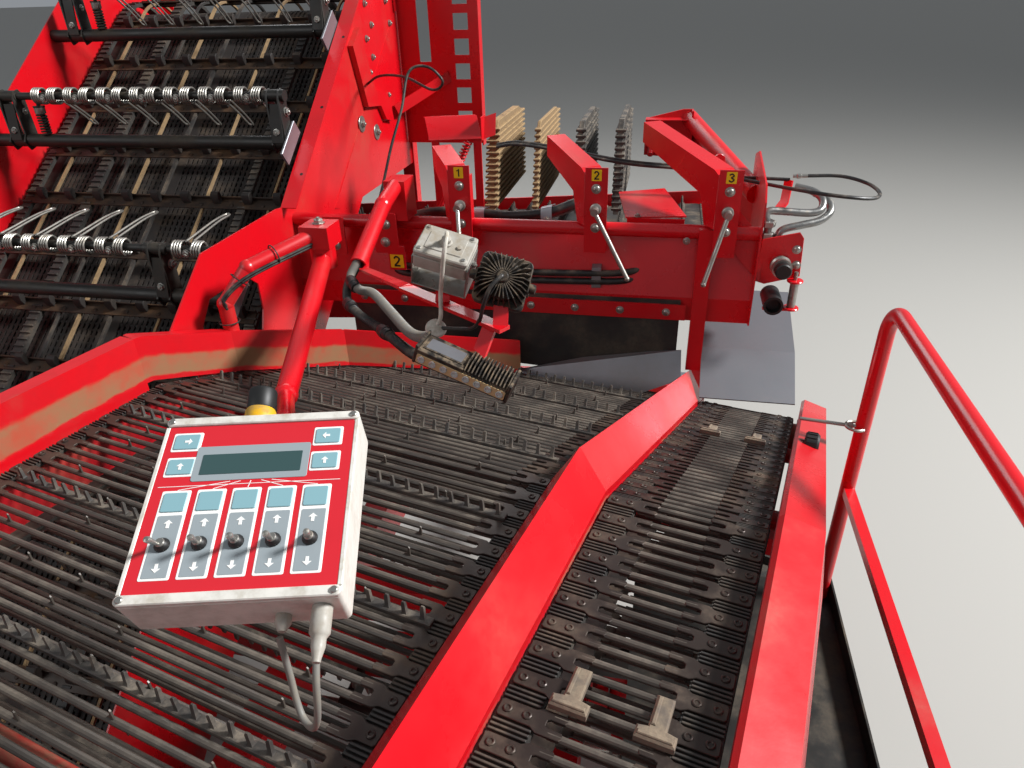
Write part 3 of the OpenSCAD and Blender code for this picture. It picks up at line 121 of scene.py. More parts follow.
# Directions: to the machine's left, up, and to the front
LEFT, UP, FRONT = (1.0, 0, 0), (0, 0, 1.0), (0, -1.0, 0)
# Turns that stand a flat piece up, so that its Y goes to Z: its X stays, or goes to Y
UPRIGHT = turn(90, "X")
ON_EDGE = turn(90, "Z") @ turn(90, "X")

# Frames of the table, the channel, the cross belt and the control box
IN_TABLE = placed_at((TABLE_PIVOT[0], TABLE_PIVOT[1], 0), (0, 0, -TABLE_YAW))
IN_CHANNEL = placed_at((0, CHANNEL_FOOT[0], CHANNEL_FOOT[1]), (CHANNEL_ANGLE, 0, 0))
IN_FINGER = placed_at(*FINGER_AT)
IN_BOX = placed_at(*BOX_AT)


# ---------------------------------------------------------------- parts: (points, [faces with 3 corners, faces
# with 4, ...])
def moved(part, matrix):
    """The part carried by one 4 by 4 matrix."""
    return part[0] @ np.asarray(matrix)[:3, :3].T + np.asarray(matrix)[:3, 3], part[1]


def stamped(part, matrices):
    """One copy of the part for each matrix of a stack: all copies' points in one product, with the faces'
    numbers shifted copy by copy."""
    matrices = np.asarray(matrices)
    points = np.einsum("kij,nj->kni", matrices[:, :3, :3], part[0]) + matrices[:, None, :3, 3]
    shift = np.arange(len(matrices))[:, None, None] * len(part[0])
    return points.reshape(-1, 3), [(f[None] + shift).reshape(-1, f.shape[1]) for f in part[1]]


def put(part, *at):
    """The part shifted."""
    return moved(part, move(at))


def fixed(part, points, normal, along=None):
    """One copy of the part at every point, its Z along the normal, and its X towards the along direction if
    one is given."""
    if along is None:
        along = UP if abs(normal[2]) < 0.9 else LEFT
    return stamped(part, facing(points, normal, along))


def at_corners(part, x, y):
    """The part at the four corners of a rectangle of half widths x and y."""
    return [put(part, a, b, 0) for a in (-x, x) for b in (-y, y)]


def joined(*parts):
    """Several parts as one."""
    points, faces, start = [], [], 0
    for p, fs in parts:
        points.append(p)
        faces += [f + start for f in fs]
        start += len(p)
    return np.concatenate(points), faces


def mirrored(part, axis):
    """The part mirrored at the origin along one axis, with its faces turned round again."""
    return part[0] * np.where(np.arange(3) == axis, -1.0, 1.0), [f[:, ::-1] for f in part[1]]


def rings(stack, round_trip=False):
    """Skin over a stack of equal closed rings, shape (rings, points, 3): each cell of the grid is a face,
    and the end rings are closed."""
    n, k = stack.shape[:2]
    i = np.arange(n if round_trip else n - 1)[:, None]
    j = np.arange(k)[None]
    a, b = i * k + j, i * k + (j + 1) % k
    c, d = ((i + 1) % n) * k + (j + 1) % k, ((i + 1) % n) * k + j
    faces = [np.stack([a, b, c, d], -1).reshape(-1, 4)]
    if not round_trip:
        faces += [np.arange(k)[None, ::-1], np.arange(k)[None] + (n - 1) * k]
    return stack.reshape(-1, 3), faces


def circle(sides):
    """Unit circle: cosine and sine of equal steps."""
    t = np.arange(sides) * 2 * np.pi / sides
    return np.stack([np.cos(t), np.sin(t)], -1)


def tube(path, radius, sides=12, ref=None, closed=False):
    """Circle of the given radius carried along a path.

    Its two axes are square to the path, one of them as near as can be to a fixed reference direction, which
    is the path's thinnest direction unless given."""
    path = np.asarray(path, float)
    ahead = np.roll(path, -1, 0) - np.roll(path, 1, 0) if closed else np.gradient(path, axis=0)
    t = ahead / np.linalg.norm(ahead, axis=1, keepdims=True)
    if ref is None:
        ref = np.linalg.svd(path - path.mean(0))[2][-1]
    n = ref - (t @ ref)[:, None] * t
    n /= np.linalg.norm(n, axis=1, keepdims=True)
    b = np.cross(t, n)
    r = np.broadcast_to(np.asarray(radius, float), len(path))[:, None, None]
    c = circle(sides)
    return rings(path[:, None] + r * (c[None, :, :1] * n[:, None] + c[None, :, 1:] * b[:, None]), closed)


def curve(points, steps=8):
    """Smooth path through points: between each pair, the cubic whose ends' slopes are half the distance
    between the neighbours."""
    p = np.asarray(points, float)
    q = np.concatenate([2 * p[:1] - p[1:2], p, 2 * p[-1:] - p[-2:-1]])
    t = (np.arange(steps) / steps)[None, :, None]
    a, b, c, d = q[:-3, None], q[1:-2, None], q[2:-1, None], q[3:, None]
    s = 0.5 * (2 * b + (c - a) * t + (2 * a - 5 * b + 4 * c - d) * t ** 2 + (3 * b - a - 3 * c + d) * t ** 3)
    return np.concatenate([s.reshape(-1, p.shape[1]), p[-1:]])


def hose(points, radius, sides, steps=8):
    """Round tube along the smooth path through some points."""
    return tube(curve(points, steps), radius, sides)


def turned(profile, sides=24):
    """Surface of turning: the profile's radius and height, from low to high outside, swept round Z."""
    p = np.asarray(profile, float)
    c = circle(sides)
    return rings(np.concatenate([p[:, :1, None] * c[None],
                                 np.broadcast_to(p[:, 1, None, None], (len(p), sides, 1))], -1))


def outset(outline, by):
    """Closed outline moved outwards: each corner slides along its bisector by the distance over the cosine
    of half its bend."""
    p = np.asarray(outline, float)
    a = p - np.roll(p, 1, 0)
    b = np.roll(p, -1, 0) - p
    na = np.stack([a[:, 1], -a[:, 0]], -1) / np.linalg.norm(a, axis=1, keepdims=True)
    nb = np.stack([b[:, 1], -b[:, 0]], -1) / np.linalg.norm(b, axis=1, keepdims=True)
    m = na + nb
    return p + by * 2 * m / np.maximum(np.sum(m * m, axis=1, keepdims=True), 0.5)


def layers(outline, levels):
    """Skin over a counter-clockwise outline that is moved outwards by the second number of each level, at
    the height of the first."""
    return rings(np.stack([np.column_stack([outset(outline, by), np.full(len(outline), z)])
                           for z, by in levels]))


def slab(outline, low, high, edge=0.0008):
    """Flat piece: an outline from one height to another, its edges broken by a small chamfer."""
    return layers(outline, [(low, -edge), (low + edge, 0), (high - edge, 0), (high, -edge)])


def tile(x0, x1, y0, y1, corner, low, high, edge=0.0002):
    """Flat rectangular piece with rounded corners and broken edges."""
    return slab(rectangle(x0, x1, y0, y1, corner), low, high, edge)


def rectangle(x0, x1, y0, y1, corner=0.0, steps=4):
    """Counter-clockwise rectangle, with its corners rounded by quarter circles."""
    if corner <= 0:
        return np.array([(x0, y0), (x1, y0), (x1, y1), (x0, y1)], float)
    t = np.linspace(0, np.pi / 2, steps + 1)
    quarter = np.stack([np.cos(t), np.sin(t)], -1) * corner
    turns = [np.array([[0, 1], [-1, 0]]), np.eye(2), np.array([[0, -1], [1, 0]]), -np.eye(2)]
    mids = [(x1 - corner, y0 + corner), (x1 - corner, y1 - corner), (x0 + corner, y1 - corner),
            (x0 + corner, y0 + corner)]
    return np.concatenate([quarter @ r.T + m for r, m in zip(turns, mids)])


def block(low, high, edge=0.001):
    """Box between two corners with broken edges."""
    low, high = np.asarray(low, float), np.asarray(high, float)
    return slab(rectangle(low[0], high[0], low[1], high[1]), low[2], high[2], edge)


def straight_rods(starts, ends, radius, sides=10):
    """Many straight rods at once: for each, two circles in the plane square to it, joined by a skin."""
    starts, ends = np.asarray(starts, float), np.asarray(ends, float)
    t = ends - starts
    t /= np.linalg.norm(t, axis=1, keepdims=True)
    ref = np.where(np.abs(t[:, 2:]) > 0.9, np.array([[1.0, 0, 0]]), np.array([[0, 0, 1.0]]))
    n = ref - np.sum(ref * t, axis=1, keepdims=True) * t
    n /= np.linalg.norm(n, axis=1, keepdims=True)
    b = np.cross(t, n)
    c = circle(sides) * radius
    ring = c[None, :, :1] * n[:, None] + c[None, :, 1:] * b[:, None]
    points = np.stack([starts[:, None] + ring, ends[:, None] + ring], 1)
    k = sides
    j = np.arange(k)
    skin = np.stack([j, (j + 1) % k, k + (j + 1) % k, k + j], -1)
    shift = np.arange(len(starts))[:, None, None] * 2 * k
    caps = np.stack([np.arange(k)[::-1], np.arange(k) + k])
    return points.reshape(-1, 3), [(skin[None] + shift).reshape(-1, 4), (caps[None] + shift).reshape(-1, k)]


def flat_bar(a, b, width, thick, side=(0, 0, 1)):
    """Straight bar of rectangular section from a to b, its thickness towards the side direction."""
    a, b = np.asarray(a, float), np.asarray(b, float)
    m = facing([a], np.asarray(side, float) - (np.dot(side, b - a) / np.dot(b - a, b - a)) * (b - a), b - a)[0]
    return moved(block((0, -width / 2, -thick / 2), (np.linalg.norm(b - a), width / 2, thick / 2),
                       min(thick, width) * 0.12), m)


def loop_line(corners, radius, steps=10):
    """Closed line of straight stretches and round bends: each corner is cut back by the radius times the
    tangent of half its bend, and bridged by an arc."""
    p = np.asarray(corners, float)
    d = np.roll(p, -1, 0) - p
    d /= np.linalg.norm(d, axis=1, keepdims=True)
    line = []
    for i in range(len(p)):
        d0, d1 = d[i - 1], d[i]
        bend = np.arctan2(d0[0] * d1[1] - d0[1] * d1[0], d0 @ d1)
        side = np.sign(bend)
        start = p[i] - d0 * radius * np.tan(abs(bend) / 2)
        centre = start + side * radius * np.array([-d0[1], d0[0]])
        a = np.linspace(0, bend, steps + 1)[:, None]
        r = start - centre
        line.append(centre + np.cos(a) * r + np.sin(a) * np.array([-r[1], r[0]]))
    return np.concatenate(line)


def on_loop(line, s):
    """Places and outward normals at distances s along a closed line that runs clockwise."""
    closed = np.concatenate([line, line[:1]])
    step = np.linalg.norm(np.diff(closed, axis=0), axis=1)
    total = np.concatenate([[0], np.cumsum(step)])
    s = np.mod(s, total[-1])
    at = np.stack([np.interp(s, total, closed[:, k]) for k in (0, 1)], -1)
    k = np.clip(np.searchsorted(total, s, side="right") - 1, 0, len(step) - 1)
    d = (closed[k + 1] - closed[k]) / np.maximum(step[k], 1e-9)[:, None]
    return at, np.stack([-d[:, 1], d[:, 0]], -1)


def loop_length(line):
    """Length round a closed line."""
    return float(np.linalg.norm(np.roll(line, -1, 0) - line, axis=1).sum())


def across_loop(line, s, x=0.0, lift=0.0):
    """Frames on a loop drawn in Y and Z: X stays across the web, Z is the outward normal, and the origin is
    lifted along it."""
    at, n = on_loop(line, np.atleast_1d(np.asarray(s, float)))
    normal = np.column_stack([np.zeros(len(n)), n])
    origin = np.column_stack([np.full(len(at), x), at]) + normal * lift
    return facing(origin, normal, (1, 0, 0))


def belt(line, x0, x1, low, high):
    """Flat belt round a loop between two distances from its line: a four-cornered section carried round."""
    p, n = on_loop(line, np.concatenate([[0], np.cumsum(np.linalg.norm(np.diff(line, axis=0), axis=1))]))
    section = [(x1, low), (x1, high), (x0, high), (x0, low)]
    stack = [np.column_stack([np.full(len(p), x), p + n * h]) for x, h in section]
    return rings(np.stack(stack, 1), True)


def hexagon(across):
    """Regular hexagon of the given width over its flats."""
    return circle(6) * across / 2 / np.cos(np.pi / 6)


def bolt(size):
    """Hexagon bolt with washer and a short threaded end, standing on Z = 0: head width 1.6 and height 0.65
    times the size."""
    return joined(turned([(size * 1.15, 0), (size * 1.2, size * 0.04), (size * 1.2, size * 0.18),
                          (size * 1.1, size * 0.22), (0.001, size * 0.22)], 14),
                  slab(hexagon(size * 1.65), size * 0.2, size * 0.85, size * 0.09),
                  turned([(size * 0.42, size * 0.8), (size * 0.42, size * 1.15), (size * 0.3, size * 1.25),
                          (0.0005, size * 1.27)], 8))


def round_head(size):
    """Low domed rivet head: a quarter of a flattened circle turned round Z."""
    t = np.linspace(0, np.pi / 2, 5)
    return turned(np.column_stack([np.maximum(size * np.cos(t), 0.0003), size * 0.5 * np.sin(t)]), 12)


def spring(radius, wire, length, turns):
    """Coil spring along Z: a helix with a round wire."""
    t = np.linspace(0, turns, turns * 12 + 1)
    path = np.column_stack([radius * np.cos(2 * np.pi * t), radius * np.sin(2 * np.pi * t), length * t / turns])
    return tube(path, wire, 6, ref=np.array(UP))


# ---------------------------------------------------------------- making pieces
def make(name, parts, look, place=None, body="machine", smooth=35):
    """A mesh object from one part or a list of them, carried by a 4 by 4 matrix, shaded smooth up to an
    angle, and riding on a body. Its one slot holds its finish."""
    part = joined(*parts) if isinstance(parts, list) else parts
    points, faces = part if place is None else moved(part, place)
    mesh = bpy.data.meshes.new(name)
    mesh.vertices.add(len(points))
    mesh.vertices.foreach_set("co", np.ascontiguousarray(points, np.float32).ravel())
    sizes = np.concatenate([np.full(len(f), f.shape[1]) for f in faces])
    corners = np.concatenate([f.ravel() for f in faces])
    mesh.loops.add(len(corners))
    mesh.loops.foreach_set("vertex_index", corners.astype(np.int32))
    mesh.polygons.add(len(sizes))
    mesh.polygons.foreach_set("loop_start", (np.cumsum(sizes) - sizes).astype(np.int32))
    mesh.update(calc_edges=True)
    mesh.shade_smooth()
    mesh.set_sharp_from_angle(angle=np.radians(smooth))
    mesh.materials.append(LOOK[look])
    piece = bpy.data.objects.new(name, mesh)
    bpy.context.scene.collection.objects.link(piece)
    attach(piece, body)
    return piece


def paint(look, *nodes):
    """Gives CAD nodes a finish."""
    for n in nodes:
        mesh = NODES[n].data
        mesh.materials.clear()
        mesh.materials.append(LOOK[look])


# ---------------------------------------------------------------- finishes
def colour(code):
    """Linear colour of an sRGB hex code: (c + 0.055) / 1.055 to the power 2.4, or c / 12.92 when dark.

    A colour from the panel is linear already."""
    if not isinstance(code, str):
        return (*code, 1.0)
    c = np.array([int(code[i:i + 2], 16) for i in (1, 3, 5)]) / 255
    return (*np.where(c > 0.04045, ((c + 0.055) / 1.055) ** 2.4, c / 12.92), 1.0)


def add(tree, kind, sockets=(), out=0, **settings):
    """Adds one node with its settings and gives back one of its outputs.

    Each of its sockets, by name or in turn, gets another node's output or a constant."""
    node = tree.nodes.new("ShaderNode" + kind)
    for name, value in settings.items():
        setattr(node, name, value)
    for name, value in (sockets.items() if isinstance(sockets, dict) else enumerate(sockets)):
        if isinstance(value, bpy.types.NodeSocket):
            tree.links.new(value, node.inputs[name])
        else:
            node.inputs[name].default_value = value
    return node.outputs[out] if node.outputs else None


def blank(name):
    """A new material and its node tree, emptied."""
    mat = bpy.data.materials.new(name)
    mat.use_nodes = True
    mat.node_tree.nodes.clear()
    return mat, mat.node_tree


# Settings of the nodes that come up again: a smooth step between two limits, a mix of two colours, and sums
SMOOTH = {"interpolation_type": "SMOOTHSTEP"}
COLOURS = {"out": 2, "data_type": "RGBA"}
TIMES, PLUS = {"operation": "MULTIPLY"}, {"operation": "ADD", "use_clamp": True}
TIMES_PLUS = {"operation": "MULTIPLY_ADD"}
# The soil band on the table's wall, in metres: its edges over the table's plane, how soft they are, and how far
# a cloud shifts them
TIDE_LOW, TIDE_HIGH = 0.018, 0.08
TIDE_SOFT = (0.008, 0.016)
TIDE_WANDER = 0.05
# Size of the fine grain in every finish
FINE_GRAIN = 0.012


def tide_mark(tree, place, cloud):
    """Mask of the soil that the crop leaves on the table's wall, with edges that wander by a cloud.

    The height over the table's plane is Z plus the fall behind the bend: the run past the bend, along the
    table, times the tangent of the fall."""
    yaw, fall = np.radians((TABLE_YAW, TABLE_FALL))
    along = (np.sin(yaw), np.cos(yaw), 0.0)
    bend = float(np.dot(along[:2], TABLE_PIVOT)) + TABLE_BEND
    run = add(tree, "VectorMath", (place, along), "Value", operation="DOT_PRODUCT")
    past = add(tree, "Math", (add(tree, "Math", (run, bend), operation="SUBTRACT"), 0.0), operation="MAXIMUM")
    over = add(tree, "Math", (past, float(np.tan(fall)), add(tree, "SeparateXYZ", (place,), "Z")), **TIMES_PLUS)
    wander = add(tree, "Math", (cloud, -TIDE_WANDER, over), **TIMES_PLUS)
    base = TABLE_Z - TIDE_WANDER / 2
    start, end = base + TIDE_LOW, base + TIDE_HIGH
    rise = add(tree, "MapRange", (wander, start, start + TIDE_SOFT[0]), **SMOOTH)
    drop = add(tree, "MapRange", (wander, end, end + TIDE_SOFT[1], 1.0, 0.0), **SMOOTH)
    patchy = add(tree, "MapRange", (cloud, 0.36, 0.6, 0.5, 0.92), **SMOOTH)
    return add(tree, "Math", (add(tree, "Math", (rise, drop), **TIMES), patchy), **TIMES)


def finish(name, base, rough, metallic=0.0, coat=0.0, dust=None, dust_share=0.0, worn=None, worn_share=0.0,
           patch=0.12, bump=0.0, spread=0.12, tide=None):
    """A real finish: its base colour, a second colour worn through in small patches, dust that lies in
    larger clouds and more on faces that look up, a roughness that follows both, and a fine bump. Sizes are
    in metres of Object coordinates."""
    mat, tree = blank(name)
    place = add(tree, "TexCoord", out="Object")
    cloud = add(tree, "TexNoise", {"Vector": place, "Scale": 1 / patch, "Detail": 6.0, "Roughness": 0.62},
                "Fac")
    fine = add(tree, "TexNoise", {"Vector": place, "Scale": 1 / FINE_GRAIN, "Detail": 5.0, "Roughness": 0.7},
               "Fac")
    # The clouds make the base up to 18% darker, and rougher
    shade = add(tree, "MapRange", (cloud, 0.3, 0.7), **SMOOTH)
    darker = (*(0.82 * v for v in colour(base)[:3]), 1.0)
    tone = add(tree, "Mix", {0: shade, 6: colour(base), 7: darker}, **COLOURS)
    gloss = add(tree, "MapRange", (cloud, 0.3, 0.7, max(rough - spread, 0.05), min(rough + spread, 1.0)),
                **SMOOTH)
    if worn:
        # Worn where the clouds and the grain are both high
        both = add(tree, "Math", (cloud, fine), **TIMES)
        bare = add(tree, "MapRange", (both, 0.44 - 0.3 * worn_share, 0.5 - 0.3 * worn_share), **SMOOTH)
        tone = add(tree, "Mix", {0: bare, 6: tone, 7: colour(worn)}, **COLOURS)
    if dust:
        # Dust from the clouds, thicker on faces that look up, speckled by the grain, and dull
        up = add(tree, "SeparateXYZ", (add(tree, "NewGeometry", out="Normal"),), "Z")
        level = add(tree, "MapRange", (up, -0.2, 1.0, 0.35, 1.0), **SMOOTH)
        fallen = add(tree, "MapRange", (cloud, 0.62 - 0.5 * dust_share, 0.95 - 0.5 * dust_share), **SMOOTH)
        speckles = add(tree, "MapRange", (fine, 0.25, 0.7, 0.45, 1.0), **SMOOTH)
        lying = add(tree, "Math", (add(tree, "Math", (level, fallen), **TIMES), speckles), **TIMES)
        tone = add(tree, "Mix", {0: lying, 6: tone, 7: colour(dust)}, **COLOURS)
        gloss = add(tree, "Math", (gloss, add(tree, "MapRange", (lying, 0.0, 1.0, 0.0, 0.35), **SMOOTH)),
                    **PLUS)
    if tide:
        mask = tide_mark(tree, place, cloud)
        tone = add(tree, "Mix", {0: mask, 6: tone, 7: colour(tide)}, **COLOURS)
        gloss = add(tree, "Math", (gloss, add(tree, "MapRange", (mask, 0.0, 1.0, 0.0, 0.4), **SMOOTH)), **PLUS)
    sockets = {"Base Color": tone, "Roughness": gloss, "Metallic": metallic, "Coat Weight": coat,
               "Coat Roughness": 0.25}
    if bump:
        sockets["Normal"] = add(tree, "Bump", {"Height": fine, "Distance": bump, "Strength": 0.6})
    add(tree, "OutputMaterial", {"Surface": add(tree, "BsdfPrincipled", sockets)})
    return mat


def plain(name, base, rough, through=0.0, coat=0.0):
    """A clean, even finish: a lens, a screen, a print."""
    mat, tree = blank(name)
    shader = add(tree, "BsdfPrincipled", {"Base Color": colour(base), "Roughness": rough, "Coat Weight": coat,
                                          "Transmission Weight": through})
    add(tree, "OutputMaterial", {"Surface": shader})
    return mat


LOOK = {}


def build_finishes(tones):
    """Makes every finish: the panel's colours for the large surfaces, fixed hex colours for the small ones."""
    LOOK.update({
        # Red machine enamel, weathered: glossy in places and filmed with dry soil
        "enamel": finish("red_enamel", tones.enamel, 0.32, coat=0.3, dust="#A8644F", dust_share=0.16,
                         worn="#7E3A34", worn_share=0.03, patch=0.45, bump=0.0002),
        # The same enamel where the crop rubs it: thinner, with bare and rusted steel
        "rubbed": finish("red_enamel_rubbed", tones.rubbed, 0.42, dust=tones.soil, dust_share=0.4,
                         worn="#6A4038", worn_share=0.16, patch=0.2, bump=0.0004),
        # The table's wall: the crop leaves a band of dried soil along it
        "wall": finish("red_enamel_soil_line", tones.enamel, 0.38, coat=0.15, dust=tones.soil, dust_share=0.18,
                       worn="#6A4038", worn_share=0.08, patch=0.2, bump=0.0003, tide="#8A6A48"),
        # Spring-steel rods in thin rubber sleeves, filmed with grey soil
        "rod": finish("web_rod_sleeved", tones.rods, 0.46, metallic=0.2, dust="#7C7266", dust_share=0.42,
                      worn="#2A2523", worn_share=0.12, patch=0.14, bump=0.0003),
        # Punched and forged links, brown and dull
        "link": finish("web_link_steel", "#39302C", 0.44, metallic=0.45, dust="#6B5C4E", dust_share=0.4,
                       worn="#6A4A40", worn_share=0.1, patch=0.1, bump=0.0004),
        # Flat bars of the haulm web, browned by rust and soil
        "rusty": finish("web_bar_browned", "#33271F", 0.6, metallic=0.3, dust="#6B4F36", dust_share=0.45,
                        patch=0.1, bump=0.0005),
        # Rubber sleeves of the lifting web, nearly black
        "sleeve": finish("web_sleeve_rubber", "#241F1C", 0.7, dust="#57493B", dust_share=0.36, patch=0.12,
                         bump=0.0005, spread=0.08),
        # Spring wire, galvanised and gone dull
        "spring": finish("spring_wire_galvanised", "#98958E", 0.42, metallic=0.75, dust="#7C6F5E",
                         dust_share=0.3, patch=0.03),
        # Frame steel, dark and dusty
        "dark": finish("dark_steel", "#2C2B29", 0.48, metallic=0.4, dust="#6A5E4E", dust_share=0.36, patch=0.22,
                       bump=0.0003),
        # Zinc-plated bolts and rods
        "bright": finish("zinc_plated_steel", "#A9A7A1", 0.38, metallic=0.85, dust="#8A7A64", dust_share=0.32,
                         worn="#7A6350", worn_share=0.14, patch=0.03),
        # Hot-dip galvanised sheet with its spangle
        "zinc": finish("galvanised_sheet", "#94959A", 0.4, metallic=0.75, dust="#8C8880", dust_share=0.22,
                       patch=0.45, bump=0.0002, spread=0.06),
        # Ribbed belts of the webs: black rubber grey with soil
        "belt": finish("belt_rubber", tones.belts, 0.66, dust="#6E6152", dust_share=0.42, patch=0.1,
                       bump=0.0006, spread=0.08),
        # Worn rubber fingers and pegs
        "peg": finish("peg_rubber", "#34312E", 0.62, dust="#83786A", dust_share=0.48, patch=0.05, bump=0.0005,
                      spread=0.08),
        # Rubber flights with a film of dried soil
        "soiled": finish("flight_rubber_soiled", "#5B5148", 0.8, dust="#8B7C69", dust_share=0.7, patch=0.03,
                         bump=0.0008, spread=0.06),
        # Combs and tapes covered in dry soil
        "earthy": finish("soil_covered_rubber", "#6E5A42", 0.85, dust="#A98C64", dust_share=0.8, patch=0.05,
                         bump=0.001, spread=0.06),
        # Tyre rubber, dull black under dry soil
        "tyre": finish("tyre_rubber", tones.tyres, 0.7, dust="#6C6252", dust_share=0.46, patch=0.12,
                       bump=0.0006, spread=0.08),
        # Pale wheel enamel, glossy between the splashes of soil
        "rim": finish("wheel_enamel", tones.rims, 0.36, coat=0.2, dust=tones.soil, dust_share=0.42, patch=0.15),
        # Covers of hydraulic hoses: black rubber, a little shiny under the dust
        "hose": finish("hose_cover", "#1D1D1D", 0.48, dust="#75685A", dust_share=0.38, patch=0.05, bump=0.0002,
                       spread=0.08),
        # Rubber sheet, smooth and dark under a film of dust
        "curtain": finish("rubber_curtain", "#262626", 0.6, dust="#857862", dust_share=0.48, patch=0.25,
                          spread=0.1),
        # Powder-coated aluminium of the control box and the junction box
        "shell": finish("powder_coat_pale", "#DAD7CF", 0.42, dust="#A59A86", dust_share=0.42, patch=0.03,
                        bump=0.0001),
        # Cast aluminium, painted and gone grey
        "grey_shell": finish("cast_box_grey", "#A9A59C", 0.5, dust="#8F8370", dust_share=0.5, patch=0.03,
                             bump=0.0002),
        # Cast lamp casings, painted black, with dry soil between the fins
        "lamp": finish("lamp_casting_black", "#232120", 0.5, metallic=0.3, dust="#8A7760", dust_share=0.5,
                       patch=0.02, bump=0.0002),
        # Plastic sheaths of cables, matt and soiled
        "cable": finish("cable_sheath_pale", "#C9C4B8", 0.5, dust="#9B8D77", dust_share=0.4, patch=0.02),
        "grey_cable": finish("cable_sheath_grey", "#77756F", 0.55, dust="#8F8370", dust_share=0.4, patch=0.02),
        # Steel tube of the motor's pipes
        "pipe": finish("steel_pipe", "#8C8C8A", 0.36, metallic=0.8, dust="#8A7A64", dust_share=0.3, patch=0.03),
        # Yellow paint of the sounder
        "yellow": finish("yellow_paint", "#D9A411", 0.5, dust="#8A7351", dust_share=0.4, patch=0.02),
        # Printed foil of the control box, even and a little glossy, with its keys and fields
        "foil_red": plain("foil_red", "#C8202C", 0.36, coat=0.2),
        "foil_grey": plain("foil_grey", "#8F989C", 0.4),
        "key_teal": plain("key_teal", "#7FA6AE", 0.38),
        "print_white": plain("print_white", "#E8E8E4", 0.45),
        # Dark glass of the display, smooth enough to mirror
        "screen": plain("display_glass", "#2F4A4A", 0.12, coat=1.0),
        # Clear lamp lenses: one filmed with soil, one clean
        "lens_warm": plain("lamp_lens_soiled", "#B79C74", 0.3, coat=0.4),
        "lens": plain("lamp_lens", "#CDD3D2", 0.12, through=0.35, coat=0.6),
        # Moulded signal lenses, deep in colour and glossy
        "amber": plain("amber_lens", "#D9600C", 0.18, coat=0.8),
        "red_lens": plain("red_lens", "#A80E12", 0.18, coat=0.8),
        # Number plates: flat yellow print
        "label": plain("number_plate_yellow", "#F0C312", 0.4),
        # Matt black fields, numerals and other black parts; on the tower's drain holes it is painted shade
        "ink": plain("print_black", "#121212", 0.5),
    })


# ---------------------------------------------------------------- the webs
# Drop of the webs' line under the table's plane, and the distance between their upper and lower strand
WEB_DROP, WEB_DEPTH = 0.0055, 0.16
# Edges of the two webs in the table's own X
PICKING_X, TRASH_X = (-1.708, -0.482), (-0.346, -0.012)
# Distance between pegs in a row, and between T-shaped flights along the web with their number
PEG_PITCH = 0.037
FLIGHT_PITCH, FLIGHTS = 1.3, 5
# Y of the row of pegs and of the flight that the photograph shows
ROW_Y, FLIGHT_Y = 0.429, 0.685


def table_loop():
    """The sorting webs' line in Y and Z: flat to the bend, then falling, and back 160 mm lower; clockwise
    from the front."""
    top = TABLE_Z - WEB_DROP
    fall = np.radians(TABLE_FALL)
    drop = (TABLE_REAR - TABLE_BEND) * np.tan(fall)
    return loop_line([(TABLE_FRONT, top), (TABLE_BEND, top), (TABLE_REAR, top - drop),
                      (TABLE_REAR - WEB_DEPTH * np.sin(fall), top - drop - WEB_DEPTH * np.cos(fall)),
                      (TABLE_BEND - WEB_DEPTH * np.tan(fall / 2), top - WEB_DEPTH),
                      (TABLE_FRONT, top - WEB_DEPTH)], WEB_DEPTH / 2)


def distance_at(line, y):
    """Distance along a clockwise loop at which its upper strand passes y."""
    s = np.linspace(0, loop_length(line), 8000, endpoint=False)
    at, n = on_loop(line, s)
    return s[np.argmin(np.abs(at[:, 0] - y) + 10 * (n[:, 1] < 0.5))]


def link_end(tab, rod_gap, rivets):
    """End of a link, drawn from the web's edge inwards: a tab that is riveted to the belt, a neck that
    widens, and a fork whose prongs hold the two rods."""
    h, r, c = rod_gap / 2, 0.007, 0.0155
    outline = [(0.002, 0.004 - c), (0.006, -c), (tab - 0.004, -c), (tab + 0.007, -h - r), (tab + 0.046, -h - r),
               (tab + 0.05, -h), (tab + 0.046, -h + r), (tab + 0.023, -h + r), (tab + 0.018, 0.003 - h + r),
               (tab + 0.018, h - r - 0.003), (tab + 0.023, h - r), (tab + 0.046, h - r), (tab + 0.05, h),
               (tab + 0.046, h + r), (tab + 0.007, h + r), (tab - 0.004, c), (0.006, c), (0.002, c - 0.004)]
    ring_head = turned([(0.008, 0.006), (0.0078, 0.0082), (0.0062, 0.0094), (0.0046, 0.0092), (0.0034, 0.0074),
                        (0.0003, 0.0074)], 9)
    return joined(slab(outline, 0.0, 0.0065, 0.001), stamped(ring_head, [move((x, y, 0)) for x, y in rivets]))


def link_web(line, x0, x1, tab, sizes, rivets):
    """A web of links: pairs of rods between two riveted belts, each pair held by a forked plate at both
    ends, with ribs on the belts between the plates."""
    rod_gap = sizes.rod_gap
    total = loop_length(line)
    count = int(total / sizes.link_pitch)
    s = np.arange(count) * total / count
    mid = across_loop(line, s + rod_gap / 2)
    end = link_end(tab, rod_gap, rivets)
    plates = joined(stamped(put(end, x0, 0, 0), mid), stamped(put(mirrored(end, 0), x1, 0, 0), mid))
    both = np.concatenate([s, s + rod_gap])
    a = across_loop(line, both, 0)[:, :3, 3]
    rods = straight_rods(a + (x0 + tab + 0.026, 0, 0), a + (x1 - tab - 0.026, 0, 0), sizes.rod_diameter / 2, 10)
    belts = joined(belt(line, x0, x0 + tab + 0.004, -0.0075, 0.0),
                   belt(line, x1 - tab - 0.004, x1, -0.0075, 0.0))
    rib = np.concatenate([s + (rod_gap + total / count) / 2 + k for k in (-0.0086, 0, 0.0086)])
    frames = across_loop(line, rib)
    ribs = joined(*[stamped(block((x + 0.001, -0.002, -0.001), (x + tab + 0.001, 0.002, 0.0058), 0.0008),
                            frames) for x in (x0, x1 - tab - 0.002)])
    return plates, rods, joined(belts, ribs)


